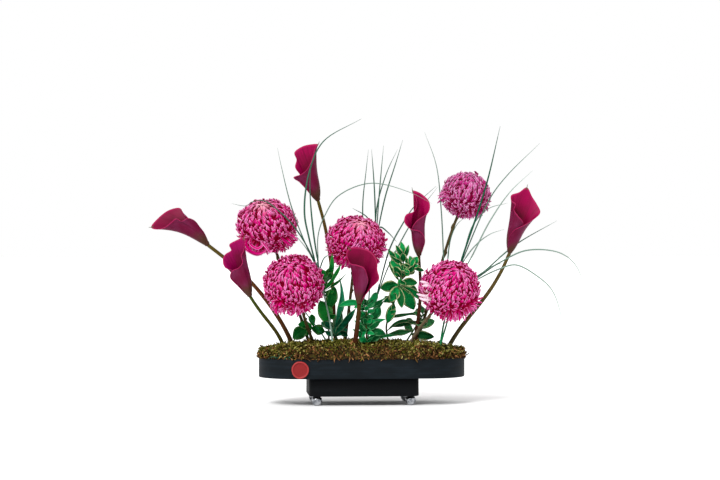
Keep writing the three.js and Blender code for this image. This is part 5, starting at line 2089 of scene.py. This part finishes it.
@dataclass(frozen=True)
class FloorFinish:
    """Matt white board."""

    name: str = "floor"
    body: Colour = srgb(246, 246, 246)
    shade: Colour = srgb(242, 242, 242)
    roughness: float = 0.9
    specular: float = 0.1

    def material(self) -> bpy.types.Material:
        """Lays out the floor's material.

        Returns:
            The finished material.
        """
        paint = Paint(self.name)
        skin = paint.blend(self.body, self.shade, paint.noise(paint.place(), 1.5, 2.0))
        return paint.close(skin, self.roughness, specular=self.specular)


@dataclass
class Studio:
    """A white floor, light from all round with a soft sun, and a level camera at the front."""

    distance: float = 3700.0
    height: float = 302.0
    aside: float = 3.5
    turn: float = math.radians(4.5)
    lens: float = 100.0
    floor_size: float = 60.0
    room: float = 1.0
    sun: float = 2.6
    sun_width: float = math.radians(24)
    sun_way: Spot = (0.42, 0.66, -0.78)
    sensor: float = 36.0

    def floor(self) -> None:
        """Lays the floor."""
        half = self.floor_size / 2
        mesh = bpy.data.meshes.new("floor")
        corners = [(-half, -half, 0), (half, -half, 0), (half, half, 0), (-half, half, 0)]
        mesh.from_pydata(corners, [], [(0, 1, 2, 3)])
        mesh.materials.append(FloorFinish().material())
        board = bpy.data.objects.new("floor", mesh)
        bpy.context.scene.collection.objects.link(board)

    def light(self) -> None:
        """Lights the arrangement from all round, and more from the upper left."""
        light = bpy.data.lights.new("sun", "SUN")
        light.energy = self.sun
        light.angle = self.sun_width
        lamp = bpy.data.objects.new("sun", light)
        lamp.rotation_euler = Vector(self.sun_way).to_track_quat("-Z", "Y").to_euler()
        bpy.context.scene.collection.objects.link(lamp)
        world = bpy.data.worlds.new("studio")
        world.use_nodes = True
        background = world.node_tree.nodes["Background"]
        background.inputs["Color"].default_value = (1, 1, 1, 1)
        background.inputs["Strength"].default_value = self.room
        bpy.context.scene.world = world
        bpy.context.scene.view_settings.view_transform = "Standard"

    def camera(self) -> None:
        """Sets up the camera at the photograph's viewing angle."""
        forward = Vector((math.sin(self.turn), math.cos(self.turn), 0))
        right = Vector((math.cos(self.turn), -math.sin(self.turn), 0))
        lens = bpy.data.cameras.new("camera")
        lens.lens = self.lens
        lens.sensor_width = self.sensor
        camera = bpy.data.objects.new("camera", lens)
        place = -forward * self.distance - right * self.aside + Vector((0, 0, self.height))
        camera.location = place / METRE
        camera.rotation_euler = forward.to_track_quat("-Z", "Y").to_euler()
        bpy.context.scene.collection.objects.link(camera)
        bpy.context.scene.camera = camera

    def build(self) -> None:
        """Builds the whole studio."""
        self.floor()
        self.light()
        self.camera()


def main() -> None:
    """Builds the arrangement in order."""
    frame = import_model()
    nodes = frame["nodes"]
    Studio().build()
    Vessel().build(nodes)
    MossCarpet().build(nodes["moss"])
    for flower in (*CALLAS, *CHRYSANTHEMUMS, *SPRAYS, *TUFTS):
        LOG.info("building %s", flower.name)
        flower.build()
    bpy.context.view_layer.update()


if __name__ == "__main__":
    logging.basicConfig(level=logging.INFO, format="%(message)s")
    main()
